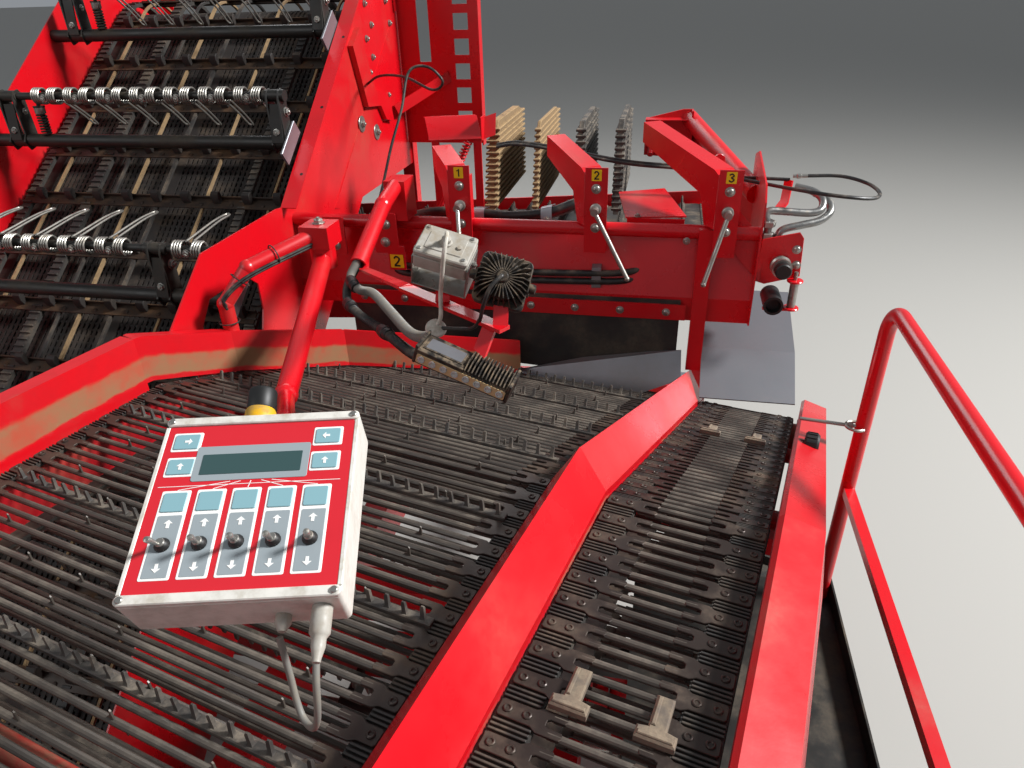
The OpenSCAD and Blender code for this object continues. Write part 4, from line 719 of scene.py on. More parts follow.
def peg_strip(x0, x1, pitch, peg):
    """A rubber strip with a row of upright pegs that lean a little in turn."""
    count = int((x1 - x0) / pitch)
    x = x0 + (np.arange(count) + 0.5) * (x1 - x0) / count
    at = np.array([move((v, 0, 0)) for v in x]) @ np.array([turn(3.0 * (-1) ** k, "X") for k in range(count)])
    return joined(block((x0, -0.01, -0.004), (x1, 0.0085, 0.0085), 0.002), stamped(peg, at))


def tee_flight():
    """A rubber flight seen from above as an upside-down T, with a low rib along its stem."""
    outline = [(-0.031, -0.022), (0.031, -0.022), (0.031, -0.001), (0.0145, 0.002), (0.014, 0.06),
               (-0.014, 0.06), (-0.0145, 0.002), (-0.031, -0.001)]
    return joined(slab(outline, -0.002, 0.015, 0.003),
                  block((-0.011, 0.004, 0.013), (-0.004, 0.056, 0.018), 0.0015),
                  block((-0.027, -0.018, 0.013), (0.027, -0.01, 0.018), 0.0015))


def rod_fins(line, s, lanes):
    """Thin fins where the rods' sleeves were trimmed: a low triangle on a rod of each link, in lanes along
    the web, shifted a little by sines of its number."""
    fin = moved(slab([(-0.013, 0.0), (0.004, 0.0), (0.004, 0.02), (0.001, 0.023), (-0.003, 0.008)], -0.0018,
                     0.0018, 0.0006), UPRIGHT)
    k = np.arange(len(s))
    parts = []
    for n, x in enumerate(lanes):
        keep = np.sin(2.3 * k + 1.7 * n) > -0.35
        shift = np.array([move((v, 0, 0)) for v in 0.012 * np.sin(5.1 * k[keep] + n)])
        parts.append(stamped(fin, across_loop(line, s[keep], x, 0.0055) @ shift))
    return joined(*parts)


def build_picking_web(sizes):
    """The wide sorting web with its rows of pegs and the fins on its rods."""
    line = table_loop()
    x0, x1 = PICKING_X
    plates, rods, belts = link_web(line, x0, x1, 0.04, sizes, [(0.018, 0.0)])
    total = loop_length(line)
    count = int(total / sizes.link_pitch)
    links = np.arange(count) * total / count
    fins = rod_fins(line, links, (-1.52, -1.35, -1.19, -1.02, -0.885, -0.665))
    rows = max(int(total / sizes.strip_pitch), 1)
    peg = layers(rectangle(-0.0039, 0.0039, -0.003, 0.003),
                 [(0.006, 0.0035), (0.012, 0.0004), (0.033, 0.0), (0.036, -0.0016)])
    strips = stamped(peg_strip(x0 + 0.06, x1 - 0.04, PEG_PITCH, peg),
                     across_loop(line, distance_at(line, ROW_Y) + np.arange(rows) * total / rows, 0, 0.004))
    make("picking_web_plates", plates, "link", IN_TABLE)
    rods = make("picking_web_rods", [rods, fins], "rod", IN_TABLE)
    make("picking_web_belts", belts, "belt", IN_TABLE)
    make("picking_web_pegs", strips, "peg", IN_TABLE)
    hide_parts("picking_web")


def build_trash_web(sizes):
    """The narrow web beside it with its T-shaped flights."""
    line = table_loop()
    x0, x1 = TRASH_X
    plates, rods, belts = link_web(line, x0, x1, 0.064, sizes, [(0.017, 0.0), (0.05, 0.0)])
    at = distance_at(line, FLIGHT_Y) + np.arange(FLIGHTS) * FLIGHT_PITCH
    tees = [stamped(tee_flight(), across_loop(line, at, x, 0.006)) for x in (-0.2405, -0.1055)]
    make("trash_web_plates", plates, "link", IN_TABLE)
    rods = make("trash_web_rods", rods, "rod", IN_TABLE)
    make("trash_web_belts", belts, "belt", IN_TABLE)
    make("trash_web_flights", tees, "soiled", IN_TABLE)
    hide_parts("trash_web")


# ---------------------------------------------------------------- the channel behind the tower wall
# Edges of the channel's webs in X, the distance between their end rolls' outer lines, and the rolls' radius
WEB_X0, WEB_X1 = -1.69, -0.405
CHANNEL_LENGTH, CHANNEL_ROLL = 4.65, 0.18
# Distance between the haulm web's bars, and between the hooks on a bar
BAR_PITCH, HOOK_PITCH = 0.262, 0.14


def channel_loop(gap):
    """The channel's loop in its own S and N, the given distance inside the haulm web's line."""
    far, low = CHANNEL_LENGTH - gap, gap - 2 * CHANNEL_ROLL
    return loop_line([(gap, -gap), (far, -gap), (far, low), (gap, low)], CHANNEL_ROLL - gap, 12)


def ribbed_belt(line, x0, x1, low, high, pitch, rib):
    """A belt with cross ribs all the way round."""
    s = np.arange(0, loop_length(line) - pitch / 2, pitch)
    ribs = stamped(block((x0 + 0.002, -0.004, high - 0.002), (x1 - 0.002, 0.004, high + rib), 0.001),
                   across_loop(line, s))
    return joined(belt(line, x0, x1, low, high), ribs)


def build_main_web(sizes):
    """Lifting web: sleeved rods close together, with many narrow bands along it that leave only small
    openings, and three belts."""
    line = channel_loop(0.055)
    total = loop_length(line)
    count = int(total / sizes.lift_pitch)
    s = np.arange(count) * total / count
    a = across_loop(line, s)[:, :3, 3]
    rods = straight_rods(a + (WEB_X0 + 0.02, 0, 0), a + (WEB_X1 - 0.02, 0, 0), 0.0088, 8)
    edges = (WEB_X0, (WEB_X0 + WEB_X1) / 2 - 0.025, WEB_X1 - 0.05)
    bands = [belt(line, x, x + 0.0145, -0.005, 0.0095) for x in np.arange(WEB_X0 + 0.056, WEB_X1 - 0.06, 0.023)]
    belts = [belt(line, x, x + 0.05, -0.0105, 0.0105) for x in edges]
    rods = make("main_web_rods", rods, "sleeve", IN_CHANNEL)
    make("main_web_belts", [*bands, *belts], "sleeve", IN_CHANNEL)
    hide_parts("main_web")


def build_haulm_web():
    """Open haulm web over the lifting web: narrow tapes, cogged belts, and flat bars with a rod and upright
    hooks."""
    line = channel_loop(0.0)
    cogs = [ribbed_belt(line, x, x + w, -0.009, 0.007, 0.03, 0.007)
            for x, w in ((WEB_X0, 0.045), (-1.396, 0.05), (-0.655, 0.036), (WEB_X1 - 0.045, 0.045))]
    thin = [belt(line, x, x + w, -0.004, 0.006) for x, w in ((-1.563, 0.011), (-1.177, 0.013), (-0.821, 0.01),
                                                             (-0.52, 0.01))]
    dull = [belt(line, x, x + w, -0.004, 0.006) for x, w in ((-1.038, 0.014), (-1.27, 0.01))]
    total = loop_length(line)
    bars = int(total / BAR_PITCH)
    s = distance_at(line, 3.84) + np.arange(bars) * total / bars
    frames = across_loop(line, s)
    a = frames[:, :3, 3]
    rods = straight_rods(a + (WEB_X0 + 0.01, 0, 0.0), a + (WEB_X1 - 0.01, 0, 0), 0.009, 10)
    flats = stamped(block((WEB_X0 + 0.008, -0.034, 0.005), (WEB_X1 - 0.008, 0.016, 0.011), 0.0015), frames)
    lips = stamped(block((WEB_X0 + 0.008, 0.012, 0.009), (WEB_X1 - 0.008, 0.018, 0.026), 0.0015), frames)
    hook = moved(slab([(-0.012, 0.01), (0.02, 0.01), (0.02, 0.03), (0.026, 0.044), (0.018, 0.052),
                       (0.004, 0.05), (-0.008, 0.036)], -0.018, 0.018, 0.002), ON_EDGE)
    hooks = joined(*[stamped(hook, frames @ move((x, 0, 0)))
                     for x in np.arange(WEB_X1 - 0.065, WEB_X0 + 0.05, -HOOK_PITCH)])
    nuts = joined(*[stamped(round_head(0.008), frames @ move((x, -0.018, 0.011)))
                    for x in np.arange(WEB_X1 - 0.135, WEB_X0 + 0.05, -HOOK_PITCH)])
    rods = make("haulm_web_bars", [rods, flats, lips, nuts], "rusty", IN_CHANNEL)
    make("haulm_web_belts", [*cogs, *dull], "belt", IN_CHANNEL)
    make("haulm_web_tapes", thin, "earthy", IN_CHANNEL)
    make("haulm_web_pegs", hooks, "sleeve", IN_CHANNEL)
    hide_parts("haulm_web")


def tine_spring():
    """Double torsion spring with a hairpin tine: one wire from an end coil through the tine's closed tip to
    the other coil. In its own frame X runs along the shaft, and Y and Z are the channel's S and N."""
    r, wire, turns, step = 0.0295, 0.004, 4, 0.01
    t = np.linspace(0, turns, turns * 14 + 1)
    left = np.column_stack([-0.014 - step * (turns - t), r * np.cos(2 * np.pi * t), r * np.sin(2 * np.pi * t)])
    right = left[::-1] * np.array([-1.0, 1, 1])
    tip = curve([(-0.014, r, 0.0), (-0.013, r + 0.004, -0.02), (-0.011, r + 0.045, -0.16),
                 (-0.0095, r + 0.06, -0.235), (0.0, r + 0.063, -0.247), (0.0095, r + 0.06, -0.235),
                 (0.011, r + 0.045, -0.16), (0.013, r + 0.004, -0.02), (0.014, r, 0.0)], 5)
    return tube(np.concatenate([left, tip[1:-1], right]), wire, 6, ref=np.array([1.0, 0.02, 0.05]))


# The four spring combs' places along the channel, and the height of their bars over the haulm web's line
COMB_S = (2.05, 2.75, 3.454, 4.067)
COMB_N = 0.205


def build_haulm_combs(sizes):
    """Spring combs over the haulm web: a cross bar, a shaft above it with bolted double springs whose tines
    reach over or down to the web, and pairs of levers between the two with a strut spring."""
    x0, x1 = -1.728, -0.368
    shaft, coil, arms, strut, bolts = [], [], [], [], []
    spring_part = tine_spring()
    pivot = np.array([0.106, 0.135])
    lever = [(-0.032, -0.024), (0.006, -0.036), (0.042, -0.018), (0.132, 0.118), (0.13, 0.148), (0.104, 0.16),
             (0.078, 0.144), (0.0, 0.032), (-0.03, 0.02)]
    outer = bolt(0.013)
    for s, right, lift in zip(COMB_S, (-0.64, -0.64, -0.41, -0.41), (0, 44, 0, 0)):
        y, z = s + pivot[0], COMB_N + pivot[1]
        shaft += [straight_rods([(x0 + 0.002, s, COMB_N)], [(x1 - 0.008, s, COMB_N)], 0.026, 20),
                  straight_rods([(x0 + 0.05, y, z)], [(x1 - 0.03, y, z)], 0.0145, 16)]
        x = np.arange(-0.51, x0 + 0.2, -sizes.spring_pitch)
        x = x[np.abs(x - right) > 0.075]
        coil.append(stamped(spring_part, [move((v, y, z)) @ turn(lift, "X") for v in x]))
        bolts.append(fixed(outer, [(v, y - 0.022, z + 0.01) for v in x], (0, -0.9, 0.42)))
        for v in (x0 + 0.1, x0 + 0.17, right - 0.024, right + 0.024):
            arms.append(moved(slab(lever, -0.004, 0.004, 0.001), move((v, s, COMB_N)) @ ON_EDGE))
        for v in (x0 + 0.135, right):
            arms += [straight_rods([(v - 0.042, y, z)], [(v + 0.042, y, z)], 0.022, 16),
                     flat_bar((v, s - 0.022, COMB_N + 0.022), (v, y - 0.03, z - 0.012), 0.048, 0.006,
                              (0, -0.8, 0.6))]
            bolts += [moved(bolt(0.015), placed_at((v + 0.028, s + 0.08, COMB_N + 0.08), (0, 90, 0))),
                      fixed(bolt(0.012), [(v, s + 0.004, COMB_N + 0.05)], (0, -0.8, 0.6))]
        v = x0 + 0.27
        coiled = placed_at((v, s + 0.004, COMB_N + 0.022), (-38, 0, 0))
        strut += [moved(spring(0.017, 0.0042, 0.085, 8), coiled),
                  straight_rods([(v, s, COMB_N)], [(v, s + 0.082, COMB_N + 0.122)], 0.007, 8),
                  moved(turned([(0.022, 0.11), (0.022, 0.116)], 16), coiled)]
        bolts.append(moved(turned([(0.019, 0.086), (0.02, 0.088), (0.02, 0.11), (0.018, 0.112)], 16), coiled))
    ends = [block((x1 - 0.012, s - 0.083, COMB_N - 0.032), (x1 - 0.002, s + 0.083, COMB_N + 0.032), 0.002)
            for s in COMB_S]
    make("haulm_comb_ends", ends, "zinc", IN_CHANNEL)
    bars = make("haulm_comb_bars", [*shaft, *arms, *strut], "dark", IN_CHANNEL)
    make("haulm_comb_springs", coil, "spring", IN_CHANNEL)
    make("haulm_comb_bolts", bolts, "bright", IN_CHANNEL)
    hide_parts("haulm_combs")


# ---------------------------------------------------------------- cross conveyor and separators
# The cross belt: its edges in Y, its length between the rolls' outer lines, their radius, and its number of
# strips
FINGER_Y = (4.0, 4.95)
FINGER_LEN = 2.96
FINGER_R = 0.09
FINGER_STRIPS = 60


def build_finger_web(sizes):
    """Rubber-finger belt: strips across the belt, each with a row of round tapered fingers."""
    line = loop_line([(0, 0), (FINGER_LEN, 0), (FINGER_LEN, -2 * FINGER_R), (0, -2 * FINGER_R)], FINGER_R)
    to_front = np.array([[0, 1, 0, 0], [-1, 0, 0, 0], [0, 0, 1, 0], [0, 0, 0, 1.0]])
    total = loop_length(line)
    s = np.arange(FINGER_STRIPS) * total / FINGER_STRIPS
    frames = across_loop(line, s)
    y0, y1 = -FINGER_Y[1] + 0.02, -FINGER_Y[0] - 0.02
    finger = turned([(0.009, 0.0), (0.0065, 0.012), (0.0055, 0.036), (0.003, 0.043)], 7)
    row = stamped(finger, [move((x, 0, 0.012)) for x in np.arange(y0 + 0.015, y1 - 0.01, sizes.finger_pitch)])
    strip = block((y0, -0.013, 0.006), (y1, 0.013, 0.014), 0.002)
    fingers = make("finger_web_fingers", moved(stamped(joined(strip, row), frames), to_front), "peg", IN_FINGER)
    cover = belt(line, y0 + 0.002, y1 - 0.002, -0.008, 0.008)
    make("finger_web_belt", moved(cover, to_front), "belt", IN_FINGER)
    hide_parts("finger_web")


# Each hanging comb: its X, the height of its top, its finish and half its width
COMBS = ((0.3, 2.832, "earthy", 0.03), (0.5, 2.828, "earthy", 0.014), (0.69, 2.83, "peg", 0.022),
         (0.86, 2.838, "peg", 0.022))
COMB_FOOT = 2.46


def build_finger_combs():
    """Each comb is a leaning row of thick rubber leaves on a bar, ribbed like a stack of discs."""
    for n, (x, top, look, half) in enumerate(COMBS):
        outline = [(4.125, COMB_FOOT), (4.835, COMB_FOOT), (4.8, top - 0.03), (4.74, top - 0.01),
                   (4.28, top - 0.005), (4.23, top - 0.05)]
        core = moved(slab(outline, -half * 0.55, half * 0.55, 0.002), move((x, 0, 0)) @ ON_EDGE)
        z = np.arange(COMB_FOOT + 0.015, top - 0.03, 0.024)
        start = 4.13 + 0.12 * (z - COMB_FOOT) / 0.38
        ribs = [block((x - half, y - 0.006, v), (x + half, 4.83, v + 0.013), 0.003) for y, v in zip(start, z)]
        piece = make(f"finger_comb_{n + 1}", [core, *ribs], look)
        if n == 0:
            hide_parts("finger_combs")


# ---------------------------------------------------------------- control box
def arrow(size):
    """Flat arrow with a short shaft, pointing to +Y."""
    return np.array([(-size, 0.1 * size), (-0.35 * size, 0.1 * size), (-0.35 * size, -size),
                     (0.35 * size, -size), (0.35 * size, 0.1 * size), (size, 0.1 * size), (0.0, size)])


# On the box's face: X of the five columns of keys and switches, Y of the switches, and places of the keys
# beside the display
COLUMNS = (-0.0775, -0.04, -0.0025, 0.035, 0.0725)
SWITCH_Y = -0.0485
SIDE_KEYS = [(x, y) for x in (-0.0815, 0.077) for y in (0.0785, 0.0455)]


def build_control_box():
    """The box with its foil, window, display, keys, toggle switches and sounder, drawn on its own face and
    then placed."""
    body = "control_arm"
    place = IN_BOX
    # Extruded shell with round-ended rails along the top and the bottom
    shell = [tile(-0.11, 0.11, -0.112, 0.112, 0.006, -0.06, -0.001, 0.002)]
    for y0, y1 in ((0.1005, 0.1115), (-0.1115, -0.1005)):
        shell.append(slab(rectangle(-0.11, 0.11, y0, y1, 0.0052, 5), -0.058, 0.0035, 0.0012))
    shell += [block((x0, -0.1, -0.002), (x1, 0.1, 0.0012), 0.0006)
              for x0, x1 in ((-0.11, -0.1055), (0.1055, 0.11))]
    shell = make("control_box_shell", shell, "shell", place, body)
    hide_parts("control_box")
    foil = tile(-0.1055, 0.1055, -0.1003, 0.1003, 0.003, -0.002, 0.0006)
    make("control_box_foil", foil, "foil_red", place, body, smooth=30)
    # Display behind its window
    make("control_box_window", tile(-0.067, 0.059, 0.026, 0.071, 0.003, 0.0004, 0.0012), "foil_grey", place,
         body)
    make("control_box_display", tile(-0.059, 0.051, 0.034, 0.06, 0.001, 0.001, 0.0017), "screen", place, body)
    # White fields round the keys, and grey ones under the switches
    fields = [tile(x - 0.0155, x + 0.0155, -0.0865, 0.0155, 0.002, 0.0004, 0.001) for x in COLUMNS]
    fields += [tile(x - 0.0165, x + 0.0165, y - 0.0125, y + 0.0125, 0.002, 0.0004, 0.001) for x, y in SIDE_KEYS]
    make("control_box_fields", fields, "print_white", place, body)
    keys = [tile(x - 0.0125, x + 0.0125, -0.0105, 0.0125, 0.002, 0.0008, 0.0022, 0.0005) for x in COLUMNS]
    keys += [tile(x - 0.0138, x + 0.0138, y - 0.0098, y + 0.0098, 0.002, 0.0008, 0.0022, 0.0005)
             for x, y in SIDE_KEYS]
    make("control_box_keys", keys, "key_teal", place, body)
    pads = [tile(x - 0.0128, x + 0.0128, -0.084, -0.0145, 0.0015, 0.0009, 0.0014) for x in COLUMNS]
    make("control_box_pads", pads, "foil_grey", place, body)
    mark = slab(arrow(0.0048), 0.0011, 0.0018, 0.0001)
    signs = [put(mark, x, -0.0245, 0) for x in COLUMNS]
    signs += [moved(mark, placed_at((x, -0.0735, 0), (0, 0, 180))) for x in COLUMNS]
    sign = slab(arrow(0.0042), 0.002, 0.0026, 0.0001)
    signs += [moved(sign, placed_at((x, y, 0), (0, 0, a))) for x, y, a in
              ((-0.0815, 0.0455, 0), (0.077, 0.0455, 0), (-0.0795, 0.0785, -90), (0.075, 0.0785, 90))]
    # Thin lines: a fan of five, and the long one that it meets
    lines = []
    for x in COLUMNS:
        ray = block((0, -0.0004, 0), (np.hypot(0.7 * x, 0.0085), 0.0004, 0.0009), 0.0001)
        lines.append(moved(ray, placed_at((0.3 * x, 0.0245, 0),
                                          (0, 0, np.degrees(np.arctan2(-0.0085, 0.7 * x))))))
    lines.append(block((-0.1, 0.0205, 0), (0.096, 0.0212, 0.0009), 0.0001))
    make("control_box_print", [*signs, *lines], "print_white", place, body, smooth=30)
    # Toggle switches: hexagon nut, collar, ball and lever
    lever = turned([(0.0026, 0.004), (0.0022, 0.01), (0.003, 0.02), (0.0036, 0.0245), (0.003, 0.0268),
                    (0.0003, 0.0278)], 12)
    nut = joined(slab(hexagon(0.0135), 0.0012, 0.004, 0.0006),
                 turned([(0.005, 0.0035), (0.005, 0.0085), (0.0042, 0.0096), (0.0003, 0.0098)], 16))
    toggles = []
    for x, tilt in zip(COLUMNS, (-10, 2, 4, 0, 6)):
        toggles += [put(nut, x, SWITCH_Y, 0),
                    moved(lever, move((x, SWITCH_Y, 0.001)) @ turn(12, "X") @ turn(tilt, "Y"))]
    make("control_box_toggles", toggles, "bright", place, body)
    boot = turned([(0.0082, 0.001), (0.008, 0.003), (0.006, 0.0065), (0.004, 0.008)], 16)
    make("control_box_boots", [put(boot, x, SWITCH_Y, 0) for x in COLUMNS], "ink", place, body)
    screw = turned([(0.0038, 0.003), (0.0038, 0.0048), (0.003, 0.0056), (0.0003, 0.0058)], 12)
    make("control_box_screws", at_corners(screw, 0.1035, 0.106), "bright", place, body)
    # Sounder on the box's top edge: yellow foot with a black cap, upright along the face
    foot = turned([(0.0185, -0.006), (0.0185, 0.012), (0.018, 0.024), (0.016, 0.028), (0.0005, 0.028)], 28)
    cap = turned([(0.016, 0.026), (0.0172, 0.029), (0.0172, 0.05), (0.016, 0.053), (0.0125, 0.0535),
                  (0.0115, 0.05), (0.0005, 0.05)], 24)
    at = placed_at((-0.016, 0.112, -0.03), (-78, 0, 0))
    make("sounder_foot", moved(foot, at), "yellow", place, body)
    make("sounder_cap", moved(cap, at), "ink", place, body)


# ---------------------------------------------------------------- lamp arm
def corrugated(path, radius, rib, pitch):
    """Ribbed conduit: a tube whose radius swells and shrinks with a cosine of the distance along it."""
    path = np.asarray(path, float)
    run = np.concatenate([[0], np.cumsum(np.linalg.norm(np.diff(path, axis=0), axis=1))])
    s = np.linspace(0, run[-1], int(run[-1] / pitch * 4) + 1)
    fine = np.stack([np.interp(s, run, path[:, k]) for k in range(3)], -1)
    return tube(fine, radius + rib * np.cos(2 * np.pi * s / pitch), 12)


def build_junction_box():
    """Cast box with a lipped lid, its gland and corner screws, in its bent bracket."""
    lid = placed_at(*LID_AT)
    cast = [tile(-0.0575, 0.0575, -0.0425, 0.0425, 0.006, -0.046, -0.014, 0.0015),
            tile(-0.0575, 0.0575, -0.0425, 0.0425, 0.006, -0.0125, 0.0, 0.0025)]
    cast += [tile(-0.04, 0.04, -0.026, 0.026, 0.004, -0.001, 0.002, 0.001)]
    cast += at_corners(turned([(0.0075, -0.002), (0.0075, 0.0005), (0.006, 0.0012), (0.0003, 0.0012)], 16),
                       0.047, 0.032)
    cast.append(turned([(0.013, 0.001), (0.013, 0.006), (0.01, 0.008), (0.01, 0.016), (0.006, 0.02),
                        (0.0045, 0.022)], 16))
    cast.append(put(turned([(0.0055, 0.001), (0.0055, 0.006), (0.0003, 0.007)], 14), 0.03, -0.004, 0))
    box = make("junction_box_casting", cast, "grey_shell", lid)
    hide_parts("junction_box")
    screws = at_corners(turned([(0.0042, 0.001), (0.0042, 0.003), (0.0034, 0.0038), (0.0003, 0.0039)], 12),
                        0.047, 0.032)
    bracket = [block((x, -0.04, -0.102), (x + 0.003, 0.03, -0.02), 0.0006)
               for x in (-0.0605, 0.0575)] + [block((-0.0605, -0.04, -0.102), (0.0605, 0.03, -0.099), 0.0006)]
    bracket += [moved(bolt(0.007), placed_at((s * 0.0605, 0, -0.035), (0, 90 * s, 0))) for s in (-1, 1)]
    make("junction_box_bracket", [*screws, *bracket], "bright", lid)


# Route of the square lamp's cable after its hub, down past the arm to the long lamp's back
LAMP_CABLE = np.array([(0.74, 2.283, 2.838), (0.725, 2.279, 2.8), (0.713, 2.292, 2.764), (0.692, 2.308, 2.737),
                       (0.66, 2.322, 2.727), (0.62, 2.332, 2.722)])


def build_lamps():
    """The square lamp with fins that fan over its drum, and the long lamp with cross fins, a label and a
    lens strip with its lights."""
    square, long_lamp = placed_at(*SQUARE_LAMP_AT), placed_at(*LONG_LAMP_AT)
    drum = [tile(-0.0535, 0.0535, -0.0535, 0.0535, 0.014, -0.045, -0.026, 0.002),
            turned([(0.044, -0.028), (0.042, -0.016), (0.034, -0.011), (0.0005, -0.009)], 32)]
    for a in np.arange(0, 360, 12):
        reach = min(0.0525 / max(abs(np.cos(np.radians(a))), abs(np.sin(np.radians(a)))), 0.0625)
        drum.append(moved(slab(np.array([(0.014, -0.03), (reach, -0.03), (reach, -0.016), (0.78 * reach, 0.004),
                                         (0.014, 0.006)]), -0.0012, 0.0012, 0.0004), turn(a, "Z") @ UPRIGHT))
    drum += [turned([(0.013, -0.01), (0.013, 0.006), (0.01, 0.01), (0.0005, 0.01)], 20)]
    lamp = make("square_lamp", drum, "lamp", square)
    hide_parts("work_lamps")
    make("square_lamp_lens", tile(-0.045, 0.045, -0.045, 0.045, 0.01, -0.0462, -0.044, 0.0005), "lens", square)
    stirrup = [block((s * 0.0545 - 0.0015, -0.012, -0.06), (s * 0.0545 + 0.0015, 0.012, -0.02), 0.0006)
               for s in (-1, 1)]
    stirrup += [block((-0.056, -0.012, -0.0615), (0.056, 0.012, -0.0585), 0.0006)]
    stirrup += [moved(turned([(0.01, 0), (0.0105, 0.004), (0.0095, 0.012), (0.0005, 0.014)], 16),
                      placed_at((s * 0.056, 0, -0.032), (0, 90 * s, 0))) for s in (-1, 1)]
    make("square_lamp_stirrup", stirrup, "lamp", square)
    bar = [tile(-0.1025, 0.1025, -0.034, 0.034, 0.005, -0.045, -0.018, 0.002)]
    bar += [moved(slab(np.array([(-0.034, -0.02), (0.033, -0.02), (0.033, -0.008), (0.022, 0.001),
                                 (-0.014, 0.001), (-0.034, -0.012)]), x - 0.0013, x + 0.0013, 0.0004), ON_EDGE)
            for x in np.linspace(0.004, 0.0945, 13)]
    bar += [tile(x - 0.003, x + 0.003, -0.035, 0.034, 0.002, -0.045, -0.004, 0.001) for x in (-0.0995, 0.0995)]
    bar += [block((-0.097, -0.034, -0.02), (0.001, 0.033, -0.012), 0.001),
            block((-0.09, -0.022, -0.012), (-0.006, 0.022, -0.01), 0.0005)]
    make("long_lamp", bar, "lamp", long_lamp)
    make("long_lamp_label", tile(-0.086, -0.01, -0.018, 0.018, 0.002, -0.0102, -0.0095), "zinc", long_lamp)
    front = move((0, -0.034, 0)) @ UPRIGHT
    make("long_lamp_lens", tile(-0.095, 0.095, -0.04, -0.02, 0.003, 0.0, 0.0022, 0.0004), "lens_warm",
         long_lamp @ front)
    cup = turned([(0.0075, 0.0018), (0.0075, 0.0036), (0.005, 0.004), (0.0045, 0.0028), (0.0005, 0.0026)], 16)
    cups = [put(cup, x, -0.03, 0) for x in np.linspace(-0.084, 0.084, 8)]
    make("long_lamp_lights", cups, "lens", long_lamp @ front)
    hub = [moved((np.array([(0, 0, 0.006), (-0.001, -0.004, 0.018)]), []), square)[0], LAMP_CABLE]
    make("square_lamp_cable", hose(np.concatenate(hub), 0.0042, 10), "hose")


def build_lamp_leads():
    """Two ribbed conduits out of the open tube along their solids' routes, their couplings, and the pale
    lead of the junction box."""
    first = curve([(0.093, 3.092, 2.574), (0.101, 3.015, 2.553), (0.16, 2.935, 2.546), (0.227, 2.886, 2.556),
                   (0.35, 2.7, 2.588), (0.478, 2.508, 2.619), (0.56, 2.4, 2.664), (0.598, 2.345, 2.706)])
    second = curve([(0.096, 3.092, 2.567), (0.095, 3.005, 2.536), (0.132, 2.905, 2.518), (0.22, 2.79, 2.528),
                    (0.368, 2.615, 2.562), (0.5, 2.45, 2.594), (0.59, 2.35, 2.632)])
    make("lamp_conduit_grey", corrugated(first, 0.0125, 0.0018, 0.007), "grey_cable")
    make("lamp_conduit_black", corrugated(second, 0.0125, 0.0016, 0.007), "hose")
    sleeve = [(0.015, -0.035), (0.017, -0.03), (0.017, -0.012), (0.019, -0.01), (0.019, 0.01), (0.017, 0.012),
              (0.017, 0.03), (0.015, 0.035)]
    joints = [fixed(turned(sleeve, 20), [p], d, UP)
              for p, d in (((0.128, 2.968, 2.549), (0.06, -0.08, -0.01)),
                           ((0.156, 2.868, 2.52), (0.1, -0.12, 0.01)),
                           ((0.368, 2.615, 2.562), (0.17, -0.2, 0.04)))]
    make("lamp_couplings", joints, "ink")
    knot = turned([(0.0005, 0.0), (0.02, 0.0), (0.023, 0.004), (0.021, 0.009), (0.012, 0.013), (0.0005, 0.014)],
                  24)
    make("lamp_grommet", knot, "cable", facing([(0.604, 2.335, 2.716)], (0.3, -0.5, 0.8), (1, 0, 0))[0])
    lid = placed_at(*LID_AT)
    lead = curve(np.concatenate([moved((np.array([(0, 0, 0.018), (0.001, -0.004, 0.034), (0.006, -0.022, 0.042),
                                                  (0.01, -0.044, 0.028), (0.012, -0.056, 0.0),
                                                  (0.013, -0.06, -0.045), (0.012, -0.058, -0.09)]), []),
                                       lid)[0], [(0.616, 2.338, 2.745), (0.606, 2.334, 2.722)]]))
    make("lamp_lead", tube(lead, 0.0046, 10), "cable")


def build_box_cable():
    """The control box's lead along its solid's route, from the plug under the box down in a loop and back
    up to its gland."""
    route = curve([(0.761, 1.443, 2.791), (0.765, 1.428, 2.774), (0.766, 1.42, 2.752), (0.763, 1.418, 2.73),
                   (0.756, 1.42, 2.714), (0.746, 1.426, 2.706), (0.735, 1.434, 2.708), (0.727, 1.442, 2.722),
                   (0.721, 1.45, 2.745), (0.716, 1.456, 2.77), (0.712, 1.461, 2.787)], 6)
    cable = make("control_box_lead", tube(route, 0.0036, 12), "grey_cable", body="control_arm")
    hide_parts("box_cable")
    plug = turned([(0.0085, 0.0), (0.0105, 0.002), (0.0105, 0.028), (0.0085, 0.031), (0.0072, 0.033),
                   (0.0072, 0.041), (0.0045, 0.052), (0.004, 0.056)], 18)
    gland = turned([(0.0075, 0.0), (0.0085, 0.002), (0.0085, 0.01), (0.006, 0.014), (0.004, 0.018)], 16)
    fitted = joined(moved(plug, move((0.088, -0.111, -0.022)) @ UPRIGHT),
                    moved(gland, move((0.045, -0.111, -0.04)) @ UPRIGHT))
    make("control_box_plug", fitted, "grey_shell", IN_BOX, "control_arm")


# ---------------------------------------------------------------- fasteners and fittings
def strap(path, width, thick, across):
    """Flat strap bent along a path: a rectangle whose long side keeps a fixed direction, and whose short
    side is square to that and to the path."""
    path = np.asarray(path, float)
    t = np.gradient(path, axis=0)
    t /= np.linalg.norm(t, axis=1, keepdims=True)
    a = np.asarray(across, float) / np.linalg.norm(across)
    n = np.cross(t, a)
    n /= np.linalg.norm(n, axis=1, keepdims=True)
    corners = np.array([(-1, -1), (1, -1), (1, 1), (-1, 1)]) / 2 * (width, thick)
    return rings(path[:, None] + corners[None, :, :1] * a + corners[None, :, 1:] * n[:, None])


def ring(radius, wire):
    """Closed ring of round wire about Z."""
    c = circle(20)
    return tube(np.column_stack([c * radius, np.zeros(len(c))]), wire, 6, ref=np.array(UP), closed=True)


